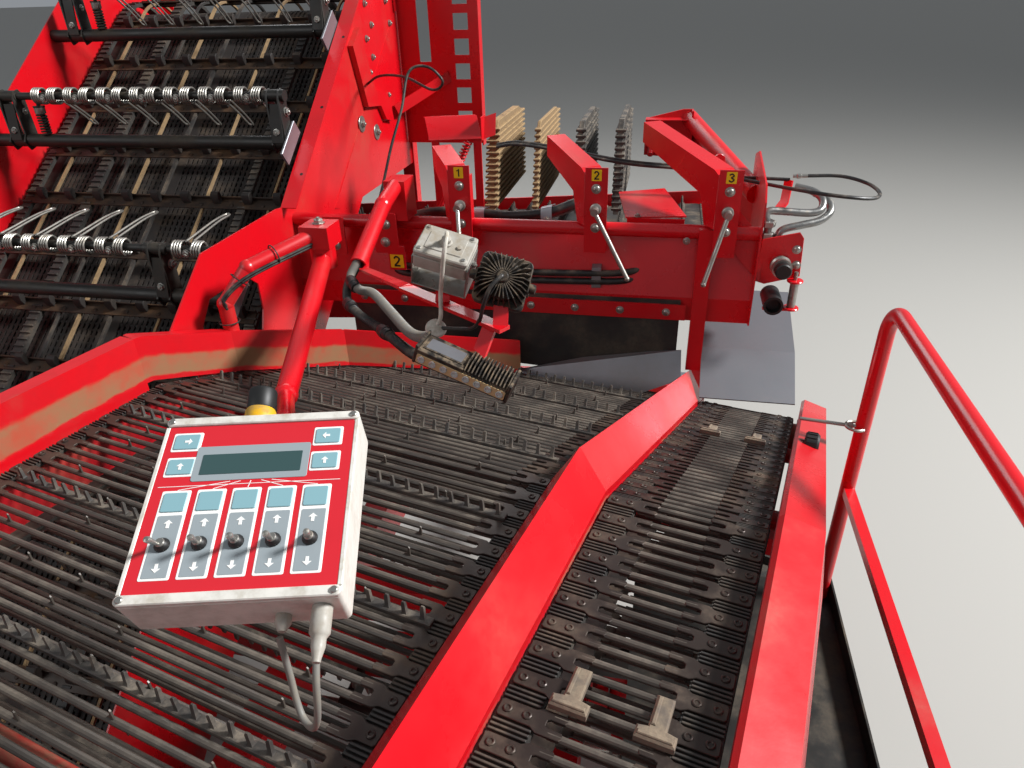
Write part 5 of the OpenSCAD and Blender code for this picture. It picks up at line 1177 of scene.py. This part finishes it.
def coach_bolt(size):
    """Domed head on a flat washer: the washer is 1.25 and the dome 0.95 times the size in radius."""
    return joined(turned([(size * 1.2, 0), (size * 1.25, size * 0.05), (size * 1.25, size * 0.16),
                          (size * 1.15, size * 0.2), (0.0005, size * 0.2)], 16),
                  put(round_head(size * 0.95), 0, 0, size * 0.18))


def numeral(digit, height):
    """A plain numeral of one stroke: its line is carried as a thin flat strap, and its middle is at the
    origin."""
    two = curve([(-0.3, 0.28), (-0.05, 0.5), (0.26, 0.26), (0.05, -0.12), (-0.3, -0.46)], 5)
    three = curve([(-0.3, 0.34), (0.02, 0.49), (0.26, 0.24), (-0.04, 0.03), (0.3, -0.22), (0.0, -0.49),
                   (-0.32, -0.32)], 5)
    lines = {1: [(-0.22, 0.22), (0.05, 0.5), (0.05, -0.5)], 2: [*two, (0.32, -0.46)], 3: three}
    p = np.asarray(lines[digit], float) * height
    return strap(np.column_stack([p, np.zeros(len(p))]), 0.0012, height * 0.17, UP)


def build_tower_fittings():
    """Bolts and washers on the tower wall, its drain holes as flat black discs of painted shade, the bracket's
    bolts, and ties and leads on the bent post."""
    small = [(4.527, 3.295), (4.583, 3.204), (4.506, 3.15), (4.558, 3.067), (4.712, 2.878), (4.62, 3.36),
             (4.66, 3.42), (4.8, 3.3), (4.83, 3.2)]
    big = [(4.32, 2.8), (4.492, 2.734)]
    heads = fixed(bolt(0.013), [(-0.359, y, z) for y, z in small] + [(-0.3555, 4.492, 3.006)], LEFT)
    washers = fixed(joined(turned([(0.036, 0), (0.037, 0.001), (0.037, 0.004), (0.036, 0.005), (0.0005, 0.005)],
                                  28), put(bolt(0.015), 0, 0, 0.005)), [(-0.3565, y, z) for y, z in big], LEFT)
    bracket = fixed(bolt(0.017), [(-0.05, 3.15, 2.682)], UP)
    flange = fixed(coach_bolt(0.015), [(-0.156, 3.482, 2.562), (-0.163, 3.482, 2.494), (0.048, 3.482, 2.582),
                                       (0.04, 3.482, 2.514)], FRONT)
    make("tower_bolts", [heads, washers, bracket, flange], "bright")
    plates = [tile(-0.205, -0.122, 2.455, 2.605, 0.008, -3.49, -3.482, 0.0012),
              tile(-0.005, 0.09, 2.47, 2.625, 0.008, -3.49, -3.482, 0.0012)]
    cheeks = [block((x, 3.489, 2.5), (x + 0.008, 3.552, 2.59), 0.001) for x in (-0.168, 0.02)]
    make("lamp_tube_flanges", [*[moved(p, UPRIGHT) for p in plates], *cheeks], "enamel")
    # Drain holes: flat black discs on the sloped face, painted shade in place of the holes' hollows
    edge = np.array([(3.862, 2.9405), (4.163, 3.178), (3.6, 2.7335)])
    slope = np.array([0, -0.619, 0.785])
    holes = fixed(slab(circle(12) * 0.0065, 0.0, 0.0006, 0.0001), [(-0.322, y, z) for y, z in edge], slope)
    make("tower_drain_holes_painted_shade", holes, "ink")
    post = np.array([(-0.268, 2.871, 2.492), (-0.268, 2.871, 2.525), (-0.205, 2.935, 2.6),
                     (-0.063, 3.132, 2.65)])
    away = np.array([(0.02, -0.026, 0.0), (0.02, -0.026, 0.0), (0.016, -0.016, -0.024),
                     (0.012, -0.012, -0.028)])
    leads = joined(*[hose(post + away * k + (0, 0, shift), 0.0045, 8, 6)
                     for k, shift in ((1.0, 0.0), (1.12, 0.012))])
    along = np.array([(-0.268, 2.871, 2.44), (-0.226, 2.913, 2.566), (-0.15, 3.011, 2.619)])
    aims = [UP, (0.55, 0.57, 0.8), (0.155, 0.215, 0.055)]
    ties = joined(*[fixed(ring(0.0315, 0.0022), [p], d, (1.0, -1.0, 0)) for p, d in zip(along, aims)])
    make("post_leads", [leads, ties], "hose")


def build_beam_fittings():
    """Bolts of the curtain's strip, clips over the hoses, and the numbered plates on the setting arms."""
    strip = fixed(coach_bolt(0.012), [(x, 3.5142, 2.275) for x in np.arange(-0.09, 1.12, 0.17)], FRONT)
    arms = []
    plates, figures = [], []
    for digit, x in zip((1, 2, 3), (0.34, 0.83, 1.275)):
        arms.append(fixed(coach_bolt(0.0135), [(x, 3.494, 2.729), (x, 3.494, 2.592)], FRONT))
        arms.append(fixed(turned([(0.019, 0), (0.02, 0.002), (0.02, 0.012), (0.017, 0.014), (0.0005, 0.014)],
                                 20), [(x, 3.494, 2.66)], FRONT))
        seat = facing([(x, 3.494, 2.775)], FRONT, LEFT)[0]
        plates.append(moved(tile(-0.017, 0.017, -0.019, 0.019, 0.002, -0.0002, 0.001), seat))
        figures.append(moved(numeral(digit, 0.026), seat @ move((0, 0, 0.0014))))
    seat = facing([(0.078, 3.4815, 2.44)], FRONT, LEFT)[0]
    plates.append(moved(tile(-0.026, 0.026, -0.026, 0.026, 0.002, -0.0002, 0.001), seat))
    figures.append(moved(numeral(2, 0.038), seat @ move((0, 0, 0.0014))))
    carrier = moved(tile(0.045, 0.112, 2.405, 2.5, 0.004, -3.488, -3.4822, 0.001), UPRIGHT)
    make("number_plate_carrier", carrier, "enamel")
    make("number_plates", plates, "label", smooth=30)
    make("number_plate_figures", figures, "ink", smooth=30)
    clips = [strap([(x, 3.632, low), (x, 3.632, high), (x, 3.64, high + 0.012), (x, 3.655, high + 0.015),
                    (x, 3.735, high - 0.004)], 0.042, 0.003, (1.0, 0, -tilt))
             for x, low, high, tilt in ((0.37, 2.535, 2.592, 0.0), (0.632, 2.546, 2.606, -0.25))]
    clips.append(strap([(0.836, 3.532, 2.352), (0.836, 3.53, 2.395), (0.836, 3.535, 2.428),
                        (0.836, 3.556, 2.436)], 0.034, 0.003, (1.0, 0, 0.05)))
    screws = joined(fixed(bolt(0.01), [(0.971, 3.604, 2.6055)], UP),
                    fixed(bolt(0.011), [(0.634, 3.63, 2.575), (1.15, 3.528, 2.545)], FRONT))
    make("beam_bolts", [strip, screws, *arms], "bright")
    make("hose_clips", clips, "zinc")
    low_hoses = [hose([(0.02, 3.58, z + 0.02), (0.1, 3.536, z), (0.45, 3.533, z - 0.004), (0.75, 3.536, z),
                       (0.93, 3.545, z + 0.006), (1.02, 3.585, z + 0.02)], 0.0125, 12) for z in (2.372, 2.404)]
    make("beam_front_hoses", low_hoses, "hose")


def build_apron():
    """Thin zinc sheet in front of the curtain's foot, bent forward over the end of the cross belt."""
    corners = np.array([(0.528, 3.5175, 1.986), (0.794, 3.5175, 2.062), (1.048, 3.5175, 2.106),
                        (1.169, 3.5175, 2.121), (1.174, 3.45, 2.029), (0.992, 3.45, 1.939),
                        (0.561, 3.485, 1.987)])
    front = np.concatenate([corners, corners + (0, 0.0025, 0)])
    n = len(corners)
    fan = np.array([(0, i, i + 1) for i in range(1, n - 1)])
    sides = np.array([(i, (i + 1) % n, (i + 1) % n + n, i + n) for i in range(n)])
    make("curtain_apron", (front, [fan[:, ::-1], fan + n, sides]), "zinc")


def build_hoses():
    """Hoses behind the beam along their solids' routes, and the pair of thin ones that crosses to the outer
    arm and loops round to its fitting."""
    thick = [[(-0.15, 3.79, 2.505), (0.02, 3.752, 2.53), (0.18, 3.682, 2.58), (0.36, 3.654, 2.59),
              (0.47, 3.652, 2.58), (0.62, 3.656, 2.594), (0.73, 3.69, 2.625), (0.8, 3.76, 2.65)],
             [(-0.15, 3.83, 2.46), (0.02, 3.8, 2.48), (0.19, 3.742, 2.552), (0.36, 3.706, 2.564),
              (0.5, 3.704, 2.561), (0.64, 3.708, 2.576), (0.75, 3.745, 2.612), (0.81, 3.8, 2.64)]]
    main_hoses = make("separator_hoses", [hose(p, 0.017, 16) for p in thick], "hose")
    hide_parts("hoses")
    across = np.array([(0.392, 3.88, 2.79), (0.48, 3.89, 2.798), (0.64, 3.9, 2.775), (0.83, 3.9, 2.74),
                       (0.96, 3.905, 2.722), (1.1, 3.91, 2.712), (1.216, 3.9, 2.7)])
    loop = np.array([(1.38, 3.75, 2.703), (1.541, 3.6, 2.709), (1.66, 3.56, 2.704), (1.752, 3.6, 2.692),
                     (1.792, 3.7, 2.687), (1.772, 3.8, 2.694), (1.69, 3.85, 2.706), (1.566, 3.85, 2.705)])
    inner = np.array([(1.31, 3.86, 2.694), (1.42, 3.855, 2.692), (1.515, 3.85, 2.69)])
    pair = [hose(np.concatenate([across, loop]), 0.0065, 10),
            hose(np.concatenate([across + (0.0, 0.014, 0.006), inner]), 0.0065, 10)]
    tower = curve([(-0.35, 4.42, 2.96), (-0.23, 4.3, 3.01), (-0.06, 4.15, 3.02), (0.1, 4.02, 2.985),
                   (0.155, 3.99, 3.02), (0.1, 3.98, 3.075), (0.03, 3.95, 3.06), (0.01, 3.88, 2.93),
                   (-0.02, 3.8, 2.8), (-0.06, 3.72, 2.62), (-0.1, 3.66, 2.52)])
    pair.append(tube(tower, 0.0055, 10))
    make("thin_hoses", pair, "hose")
    fitting = turned([(0.0075, 0), (0.0075, 0.022), (0.0095, 0.024), (0.0095, 0.036), (0.007, 0.038),
                      (0.007, 0.05), (0.0005, 0.05)], 12)
    make("hose_fittings", fixed(fitting, [(1.575, 3.85, 2.705)], (-1.0, 0.0, -0.05), UP), "bright")


def build_belt_drive():
    """Right end of the separator: motor with bent pipes, spring strut, mounting plates and the round arm
    that runs back to its plate."""
    plates = [moved(slab([(1.395, 2.4), (1.436, 2.388), (1.552, 2.422), (1.545, 2.56), (1.53, 2.58),
                          (1.41, 2.552)], -3.562, -3.554, 0.0012), UPRIGHT),
              strap([(1.416, 3.557, 2.47), (1.398, 3.556, 2.49), (1.33, 3.566, 2.56), (1.311, 3.575, 2.59)],
                    0.15, 0.006, (0.0, 0.15, 1.0)),
              strap([(1.512, 3.85, 2.69), (1.51, 3.845, 2.655), (1.5, 3.8, 2.62), (1.47, 3.74, 2.6)], 0.04,
                    0.006, (0.6, -0.8, 0.0))]
    lug = slab([(-0.022, -0.075), (0.022, -0.075), (0.022, 0.0)]
               + [(0.022 * np.cos(t), 0.022 * np.sin(t)) for t in np.linspace(0.3, np.pi - 0.3, 7)]
               + [(-0.022, 0.0)], -0.004, 0.004, 0.001)
    plates.append(fixed(lug, [(1.257, 3.9, 2.748)], (0.25, -1.0, 0), (1.0, 0.25, 0)))
    a, b = np.array([1.15, 4.52, 2.8]), np.array([1.4, 3.83, 2.64])
    arm = [tube(np.linspace(a, b, 4), 0.038, 20), strap([a + (0.012, 0, -0.09), b + (0.0, 0, -0.09)], 0.006,
                                                        0.15, (1.0, 0.36, 0.0))]
    arm.append(moved(slab([(0.955, 2.64), (1.165, 2.625), (1.165, 2.842), (1.12, 2.842), (0.955, 2.802)],
                          -4.508, -4.5, 0.0012), UPRIGHT))
    arm += [block((0.955, 4.44, 2.8), (1.165, 4.508, 2.806), 0.001),
            block((1.157, 4.44, 2.64), (1.165, 4.508, 2.842), 0.001)]
    arm += [straight_rods([(1.027, 4.44, 2.79)], [(1.097, 4.02, 2.73)], 0.01, 12),
            straight_rods([(0.992, 4.5, 2.71)], [(0.985, 4.43, 2.655)], 0.014, 12)]
    make("outer_arm", [*plates, *arm], "enamel")
    pipes = [[(1.424, 3.58, 2.52), (1.424, 3.58, 2.59), (1.412, 3.582, 2.626), (1.422, 3.59, 2.642),
              (1.46, 3.6, 2.64), (1.56, 3.62, 2.631), (1.6, 3.64, 2.64), (1.606, 3.68, 2.664),
              (1.58, 3.72, 2.68), (1.52, 3.745, 2.69)],
             [(1.463, 3.58, 2.51), (1.463, 3.58, 2.56), (1.48, 3.584, 2.582), (1.54, 3.6, 2.594),
              (1.6, 3.625, 2.604), (1.636, 3.66, 2.628), (1.63, 3.71, 2.655), (1.59, 3.74, 2.67)]]
    make("motor_pipes", [hose(p, 0.0135, 14) for p in pipes], "pipe")
    nuts = [put(slab(hexagon(0.044), 0.0, 0.022, 0.003), x, 3.58, z)
            for x, z in ((1.424, 2.548), (1.424, 2.59), (1.463, 2.532))]
    spool = turned([(0.034, 0.0), (0.036, 0.004), (0.036, 0.014), (0.03, 0.018), (0.03, 0.028), (0.034, 0.031),
                    (0.034, 0.044), (0.0005, 0.046)], 24)
    nuts.append(fixed(spool, [(1.48, 3.554, 2.462)], (0.05, -1.0, 0), LEFT))
    nuts += [fixed(coach_bolt(0.0125), [(1.527, 3.554, 2.52), (1.534, 3.554, 2.464)], FRONT),
             straight_rods([(1.536, 3.535, 2.3)], [(1.536, 3.535, 2.445)], 0.007, 10)]
    nuts.append(put(turned([(0.015, 2.315), (0.015, 2.405)], 16), 1.536, 3.535, 0))
    make("motor_fittings", nuts, "bright")
    washers = [put(turned([(0.026, z), (0.028, z + 0.002), (0.028, z + 0.006), (0.026, z + 0.008),
                           (0.0005, z + 0.008)], 20), 1.536, 3.535, 0) for z in (2.305, 2.408)]
    washers.append(block((1.44, 3.528, 2.298), (1.545, 3.545, 2.306), 0.001))
    make("strut_plates", washers, "enamel")
    cap = fixed(turned([(0.026, 0.0), (0.028, 0.003), (0.028, 0.03), (0.024, 0.034), (0.0005, 0.034)], 24),
                [(1.482, 3.51, 2.462)], (0.05, -1.0, 0), LEFT)
    sleeve = fixed(turned([(0.034, 0.0), (0.034, 0.12), (0.026, 0.12), (0.024, 0.09), (0.0005, 0.088)], 24),
                   [(1.468, 3.6, 2.334)], (0.0, -1.0, 0), LEFT)
    make("motor_cap", [cap, sleeve], "ink")


def build_hood():
    """Small hood over the belt's left end with its legs, and the red spring and rod below it."""
    top = strap([(0.127, 4.145, 2.864), (0.136, 4.135, 2.862), (0.1685, 4.068, 2.796), (0.17, 4.062, 2.782)],
                0.232, 0.004, (1.0, 0.02, 0.04))
    cheek = block((0.283, 4.066, 2.776), (0.287, 4.15, 2.872), 0.001)
    wing = strap([(0.285, 4.12, 2.82), (0.335, 4.13, 2.835)], 0.09, 0.004, (0, 0.3, 1.0))
    legs = [flat_bar((x, 4.085, 2.31), (x, 4.085, 2.8), 0.035, 0.006, (0, 1.0, 0)) for x in (0.075, 0.262)]
    legs += [flat_bar((x, 3.986, 2.335), (x, 4.09, 2.335), 0.035, 0.006, UP) for x in (0.075, 0.262)]
    low, high = np.array([0.176, 4.072, 2.676]), np.array([0.226, 4.072, 2.772])
    coil = fixed(spring(0.015, 0.0042, np.linalg.norm(high - low), 7), [low], high - low, (0, 1.0, 0))
    rod = straight_rods([low - (high - low) * 3.2], [high], 0.007, 10)
    make("belt_hood", [top, cheek, wing, *legs, coil, rod], "enamel")


def build_rail_tie():
    """Tie rod with its nut between the table's rail and the hoop, and the black knob on the rail."""
    a, b = np.array(TIE[0]), np.array(TIE[1])
    rod = straight_rods([a], [b], 0.0055, 10)
    nut = fixed(slab(hexagon(0.02), 0.0, 0.014, 0.002), [a + (b - a) * 0.86], b - a)
    eye = fixed(ring(0.026, 0.005), [b], UP, LEFT)
    make("rail_tie_rod", [rod, nut, eye], "bright")
    knob = turned([(0.008, 0.0), (0.008, 0.012), (0.03, 0.014), (0.033, 0.018), (0.033, 0.046), (0.028, 0.052),
                   (0.0005, 0.053)], 24)
    knob = joined(knob, *[moved(block((0.0315, -0.0022, 0.018), (0.035, 0.0022, 0.045), 0.0008), turn(a, "Z"))
                          for a in range(0, 360, 24)])
    make("rail_knob", fixed(knob, [KNOB], (0.97, -0.22, 0.0)), "ink")


def build_wheels(sizes):
    """Tyres with a chevron of bars: the body is the solid's section turned under the tread, and each bar is
    a swept block that follows its crown."""
    radius, half, depth, track = 0.67, 0.3, 0.035, 1.435
    low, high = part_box("tyre_right")
    y, z = [(low[k] + high[k]) / 2 for k in (1, 2)]
    r = radius - depth
    profile = [(0.345, -0.252), (0.405, -0.292), (0.495, -0.3), (0.575, -0.29), (r - 0.012, -0.262),
               (r, -0.215), (r + 0.004, 0.0), (r, 0.215), (r - 0.012, 0.262), (0.575, 0.29), (0.495, 0.3),
               (0.405, 0.292), (0.345, 0.252)]
    body = turned(profile, 72)
    across = np.linspace(0.012, half - 0.012, 7)
    sweep = 0.3 * across / half + 0.05
    crown = np.interp(across, (0, 0.2, 0.26, 0.3), (radius, radius - 0.003, radius - 0.016, radius - 0.07))
    floor = np.interp(across, (0, 0.22, 0.265, 0.3), (r - 0.01, r - 0.012, r - 0.03, r - 0.09))
    lean = 0.028 + 0.01 * across / half

    def at(angle, height):
        return np.column_stack([height * np.cos(angle), height * np.sin(angle), across])

    bar = rings(np.stack([at(sweep - lean * 1.15, floor), at(sweep + lean * 1.15, floor),
                          at(sweep + lean * 0.8, crown), at(sweep - lean * 0.8, crown)], 1)[:, ::-1])
    count = sizes.tread_bars
    spins = np.array([turn(360 / count * k, "Z") for k in range(count)])
    shifted = np.array([turn(360 / count * (k + 0.5), "Z") for k in range(count)])
    tyre = joined(body, stamped(bar, spins), stamped(mirrored(bar, 2), shifted))
    nut = bolt(0.016)
    for side, name in ((1, "left"), (-1, "right")):
        place = placed_at((side * track, y, z), (0, 90 * side, 0))
        piece = make(f"tyre_tread_{name}", tyre, "tyre", place, f"wheel_{name}")
        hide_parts(f"tyre_{name}")
        nuts = stamped(nut, np.array([turn(a, "Z") @ move((0.112, 0, 0.008)) for a in range(0, 360, 36)]))
        cap = turned([(0.07, 0.05), (0.071, 0.066), (0.064, 0.078), (0.0005, 0.084)], 28)
        make(f"wheel_nuts_{name}", [nuts, cap], "bright", place, f"wheel_{name}")


def build_lights():
    """Rear lamps: a three-part lens on each lamp plate, with its black surround."""
    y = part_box("light_bar")[1][1]
    for x, name in ((-1.4, "right"), (1.3, "left")):
        side = 1 if x > 0 else -1
        make(f"rear_lamp_frame_{name}", block((x - 0.092, y - 0.004, 0.912), (x + 0.092, y + 0.012, 1.028),
                                              0.004), "ink")
        lenses = [block((x + a - 0.027, y + 0.008, 0.922), (x + a + 0.027, y + 0.022, 1.018), 0.005)
                  for a in (-0.058, 0.0, 0.058)]
        make(f"rear_lamp_amber_{name}", lenses[2 if side > 0 else 0], "amber")
        make(f"rear_lamp_red_{name}", [lenses[1], lenses[0 if side > 0 else 2]], "red_lens")


# ---------------------------------------------------------------- stage
def build_stage(light):
    """Pale floor, a soft key from the machine's right and above, two weak fills, and the photograph's
    camera."""
    scene = bpy.context.scene
    floor = bpy.data.meshes.new("floor")
    far = 400
    floor.from_pydata([(-far, -far, 0), (far, -far, 0), (far, far, 0), (-far, far, 0)], [], [(0, 1, 2, 3)])
    floor.materials.append(plain("studio_floor", light.floor, 0.85))
    ground = bpy.data.objects.new("floor", floor)
    scene.collection.objects.link(ground)
    for name, at, aim, size, power in (("key", (11.5, 4.5, 11.0), (-0.3, 2.8, 2.4), 2.6, light.key),
                                       ("fill", (-9.0, -7.0, 9.0), (0, 2, 2), 9.0, light.fill),
                                       ("rim", (-4.0, 14.0, 9.0), (0, 3, 2), 7.0, light.fill)):
        data = bpy.data.lights.new(name, "AREA")
        data.shape, data.size, data.energy = "DISK", size, power
        lamp = bpy.data.objects.new(name, data)
        lamp.matrix_world = Matrix(facing([at], np.subtract(at, aim), UP)[0].tolist())
        scene.collection.objects.link(lamp)
    world = bpy.data.worlds.new("studio")
    world.use_nodes = True
    world.node_tree.nodes["Background"].inputs["Color"].default_value = colour("#DDE3EA")
    world.node_tree.nodes["Background"].inputs["Strength"].default_value = light.sky
    scene.world = world
    turned_rows = np.array(Matrix.Rotation(np.radians(CAMERA_TURN), 3, "Z")) @ np.array(CAMERA_ROWS)
    pose = np.eye(4)
    pose[:3, 0], pose[:3, 1], pose[:3, 2], pose[:3, 3] = turned_rows[:, 0], -turned_rows[:, 1], -turned_rows[
        :, 2], CAMERA_AT
    lens = bpy.data.cameras.new("camera")
    lens.lens, lens.sensor_width, lens.clip_start, lens.clip_end = CAMERA_LENS, 36, 0.02, 900
    camera = bpy.data.objects.new("camera", lens)
    camera.matrix_world = Matrix(pose.tolist())
    scene.collection.objects.link(camera)
    scene.camera = camera
    scene.view_settings.view_transform = "Standard"


def paint_solids():
    """Finishes of the CAD nodes that stay in view."""
    paint("enamel", "chassis_frame", "axle_beam", "drawbar", "digger_frame", "tower_wall", "rear_panel",
          "outer_wall", "finger_frame", "separator_beam", "adjuster_arms", "table_legs", "divider",
          "table_rail", "bunker_tub", "discharge_elevator", "hoop_rail", "ladder", "arm_post", "control_arm",
          "lamp_arm", "knuckle_left", "knuckle_right")
    paint("rubbed", "table_frame")
    paint("wall", "table_wall")
    paint("dark", "steering_cylinder", "digging_web", "channel_shafts", "bunker_floor", "platform")
    paint("bright", "tie_rod", "tow_eye", "jack_leg", "shares", "disc_left", "disc_middle", "disc_right",
          "crank_1", "crank_2", "crank_3")
    paint("zinc", "chute_plate", "light_bar")
    paint("curtain", "curtain")
    paint("tyre", "ridge_roller_left", "ridge_roller_right")
    paint("rim", "rim_left", "rim_right")


# ---------------------------------------------------------------- what a user may change
def tone_property(name, text, code):
    """A colour of the panel, kept linear."""
    return FloatVectorProperty(name=name, description=text, subtype="COLOR", size=3, min=0, max=1,
                               default=colour(code)[:3])


def length_property(name, text, value, low, high):
    """A length of the panel, in metres."""
    return FloatProperty(name=name, description=text, unit="LENGTH", precision=4, default=value, min=low,
                         max=high)


class HarvesterSizes(bpy.types.PropertyGroup):
    link_pitch: length_property("Link pitch", "Distance between the links of the two table webs", 0.0615, 0.05,
                                0.09)
    rod_gap: length_property("Rod gap", "Distance between the two rods of a link", 0.0295, 0.02, 0.045)
    rod_diameter: length_property("Rod diameter", "Diameter of the table webs' rods", 0.0135, 0.006, 0.016)
    strip_pitch: length_property("Strip pitch", "Distance between the picking web's rows of pegs", 0.3075, 0.15,
                                 0.6)
    lift_pitch: length_property("Lifting web pitch", "Distance between the rods of the lifting web", 0.03,
                                0.024, 0.08)
    spring_pitch: length_property("Spring pitch", "Distance between the combs' double springs", 0.15, 0.1, 0.3)
    finger_pitch: length_property("Finger pitch", "Distance between the fingers in a row of the cross belt",
                                  0.034, 0.025, 0.08)
    tread_bars: IntProperty(name="Tread bars", description="Bars on each side of a tyre's tread", default=20,
                            min=12, max=30)


class HarvesterColours(bpy.types.PropertyGroup):
    enamel: tone_property("Enamel", "Machine enamel", "#CF0A18")
    rubbed: tone_property("Rubbed enamel", "Enamel where the crop rubs it", "#BE1220")
    rods: tone_property("Rods", "Sleeved rods of the table webs", "#4C4640")
    belts: tone_property("Belts", "Rubber of the webs' belts", "#2B2927")
    tyres: tone_property("Tyres", "Rubber of the tyres", "#232221")
    rims: tone_property("Rims", "Enamel of the wheel rims", "#D8D6CF")
    soil: tone_property("Soil", "Dry soil on frames and webs", "#8E7A5E")


class HarvesterLight(bpy.types.PropertyGroup):
    floor: tone_property("Floor", "Colour of the studio floor", "#A3A19C")
    key: FloatProperty(name="Key light", description="Power of the key light", unit="POWER", default=3800.0,
                       min=0)
    fill: FloatProperty(name="Fill lights", description="Power of each fill light", unit="POWER", default=360.0,
                        min=0)
    sky: FloatProperty(name="Sky", description="Strength of the even light all round", default=0.36, min=0,
                       max=5)


# ---------------------------------------------------------------- operators
class HARVESTER_OT_stage(bpy.types.Operator):
    """Makes the floor, the lights and the camera"""
    bl_idname = "harvester.stage"
    bl_label = "Stage"

    def execute(self, context):
        build_stage(context.scene.harvester_light)
        return {"FINISHED"}


class HARVESTER_OT_finishes(bpy.types.Operator):
    """Makes the finishes and gives them to the solids that stay in view"""
    bl_idname = "harvester.finishes"
    bl_label = "Finishes"

    def execute(self, context):
        build_finishes(context.scene.harvester_colours)
        paint_solids()
        return {"FINISHED"}


class HARVESTER_OT_table_webs(bpy.types.Operator):
    """Makes the picking web and the trash web of the sorting table"""
    bl_idname = "harvester.table_webs"
    bl_label = "Table webs"

    def execute(self, context):
        build_picking_web(context.scene.harvester_sizes)
        build_trash_web(context.scene.harvester_sizes)
        return {"FINISHED"}


class HARVESTER_OT_channel_webs(bpy.types.Operator):
    """Makes the lifting web and the open haulm web of the channel"""
    bl_idname = "harvester.channel_webs"
    bl_label = "Channel webs"

    def execute(self, context):
        build_main_web(context.scene.harvester_sizes)
        build_haulm_web()
        return {"FINISHED"}


class HARVESTER_OT_haulm_combs(bpy.types.Operator):
    """Makes the spring combs over the haulm web"""
    bl_idname = "harvester.haulm_combs"
    bl_label = "Haulm combs"

    def execute(self, context):
        build_haulm_combs(context.scene.harvester_sizes)
        return {"FINISHED"}


class HARVESTER_OT_separator(bpy.types.Operator):
    """Makes the finger belt and the combs over it"""
    bl_idname = "harvester.separator"
    bl_label = "Separator"

    def execute(self, context):
        build_finger_web(context.scene.harvester_sizes)
        build_finger_combs()
        return {"FINISHED"}


class HARVESTER_OT_control_box(bpy.types.Operator):
    """Makes the control box with its keys, switches, sounder and lead"""
    bl_idname = "harvester.control_box"
    bl_label = "Control box"

    def execute(self, context):
        build_control_box()
        build_box_cable()
        return {"FINISHED"}


class HARVESTER_OT_lamps(bpy.types.Operator):
    """Makes the junction box, the two work lamps and their leads"""
    bl_idname = "harvester.lamps"
    bl_label = "Work lamps"

    def execute(self, context):
        build_junction_box()
        build_lamps()
        build_lamp_leads()
        return {"FINISHED"}


class HARVESTER_OT_hoses(bpy.types.Operator):
    """Makes the hydraulic hoses of the separator and the sheet before its curtain"""
    bl_idname = "harvester.hoses"
    bl_label = "Hoses"

    def execute(self, context):
        build_hoses()
        build_apron()
        return {"FINISHED"}


class HARVESTER_OT_belt_drive(bpy.types.Operator):
    """Makes the belt's motor, its pipes, the outer arm and the hood"""
    bl_idname = "harvester.belt_drive"
    bl_label = "Belt drive"

    def execute(self, context):
        build_belt_drive()
        build_hood()
        return {"FINISHED"}


class HARVESTER_OT_fittings(bpy.types.Operator):
    """Makes the bolts, clips, ties and number plates"""
    bl_idname = "harvester.fittings"
    bl_label = "Fittings"

    def execute(self, context):
        build_tower_fittings()
        build_beam_fittings()
        build_rail_tie()
        return {"FINISHED"}


class HARVESTER_OT_wheels(bpy.types.Operator):
    """Makes the tyres' tread, the wheel nuts and the rear lamps"""
    bl_idname = "harvester.wheels"
    bl_label = "Wheels and rear lamps"

    def execute(self, context):
        build_wheels(context.scene.harvester_sizes)
        build_lights()
        return {"FINISHED"}


OPERATORS = (HARVESTER_OT_stage, HARVESTER_OT_finishes, HARVESTER_OT_table_webs, HARVESTER_OT_channel_webs,
             HARVESTER_OT_haulm_combs, HARVESTER_OT_separator, HARVESTER_OT_control_box, HARVESTER_OT_lamps,
             HARVESTER_OT_hoses, HARVESTER_OT_belt_drive, HARVESTER_OT_fittings, HARVESTER_OT_wheels)
GROUPS = {"harvester_sizes": HarvesterSizes, "harvester_colours": HarvesterColours,
          "harvester_light": HarvesterLight}


class HARVESTER_PT_panel(bpy.types.Panel):
    """Lists the sizes, the colours, the light and the operators"""
    bl_label = "Potato Harvester"
    bl_space_type = "VIEW_3D"
    bl_region_type = "UI"
    bl_category = "Harvester"

    def draw(self, context):
        for name, group in GROUPS.items():
            box = self.layout.box()
            for prop in group.__annotations__:
                box.prop(getattr(context.scene, name), prop)
        for operator in OPERATORS:
            self.layout.operator(operator.bl_idname)


def register():
    for cls in (*GROUPS.values(), *OPERATORS, HARVESTER_PT_panel):
        bpy.utils.register_class(cls)
    for name, group in GROUPS.items():
        setattr(bpy.types.Scene, name, PointerProperty(type=group))


def unregister():
    for name in GROUPS:
        delattr(bpy.types.Scene, name)
    for cls in (HARVESTER_PT_panel, *OPERATORS[::-1], *GROUPS.values()):
        bpy.utils.unregister_class(cls)


def main():
    register()
    for operator in OPERATORS:
        getattr(bpy.ops.harvester, operator.bl_idname.split(".")[1])()


if __name__ == "__main__":
    main()
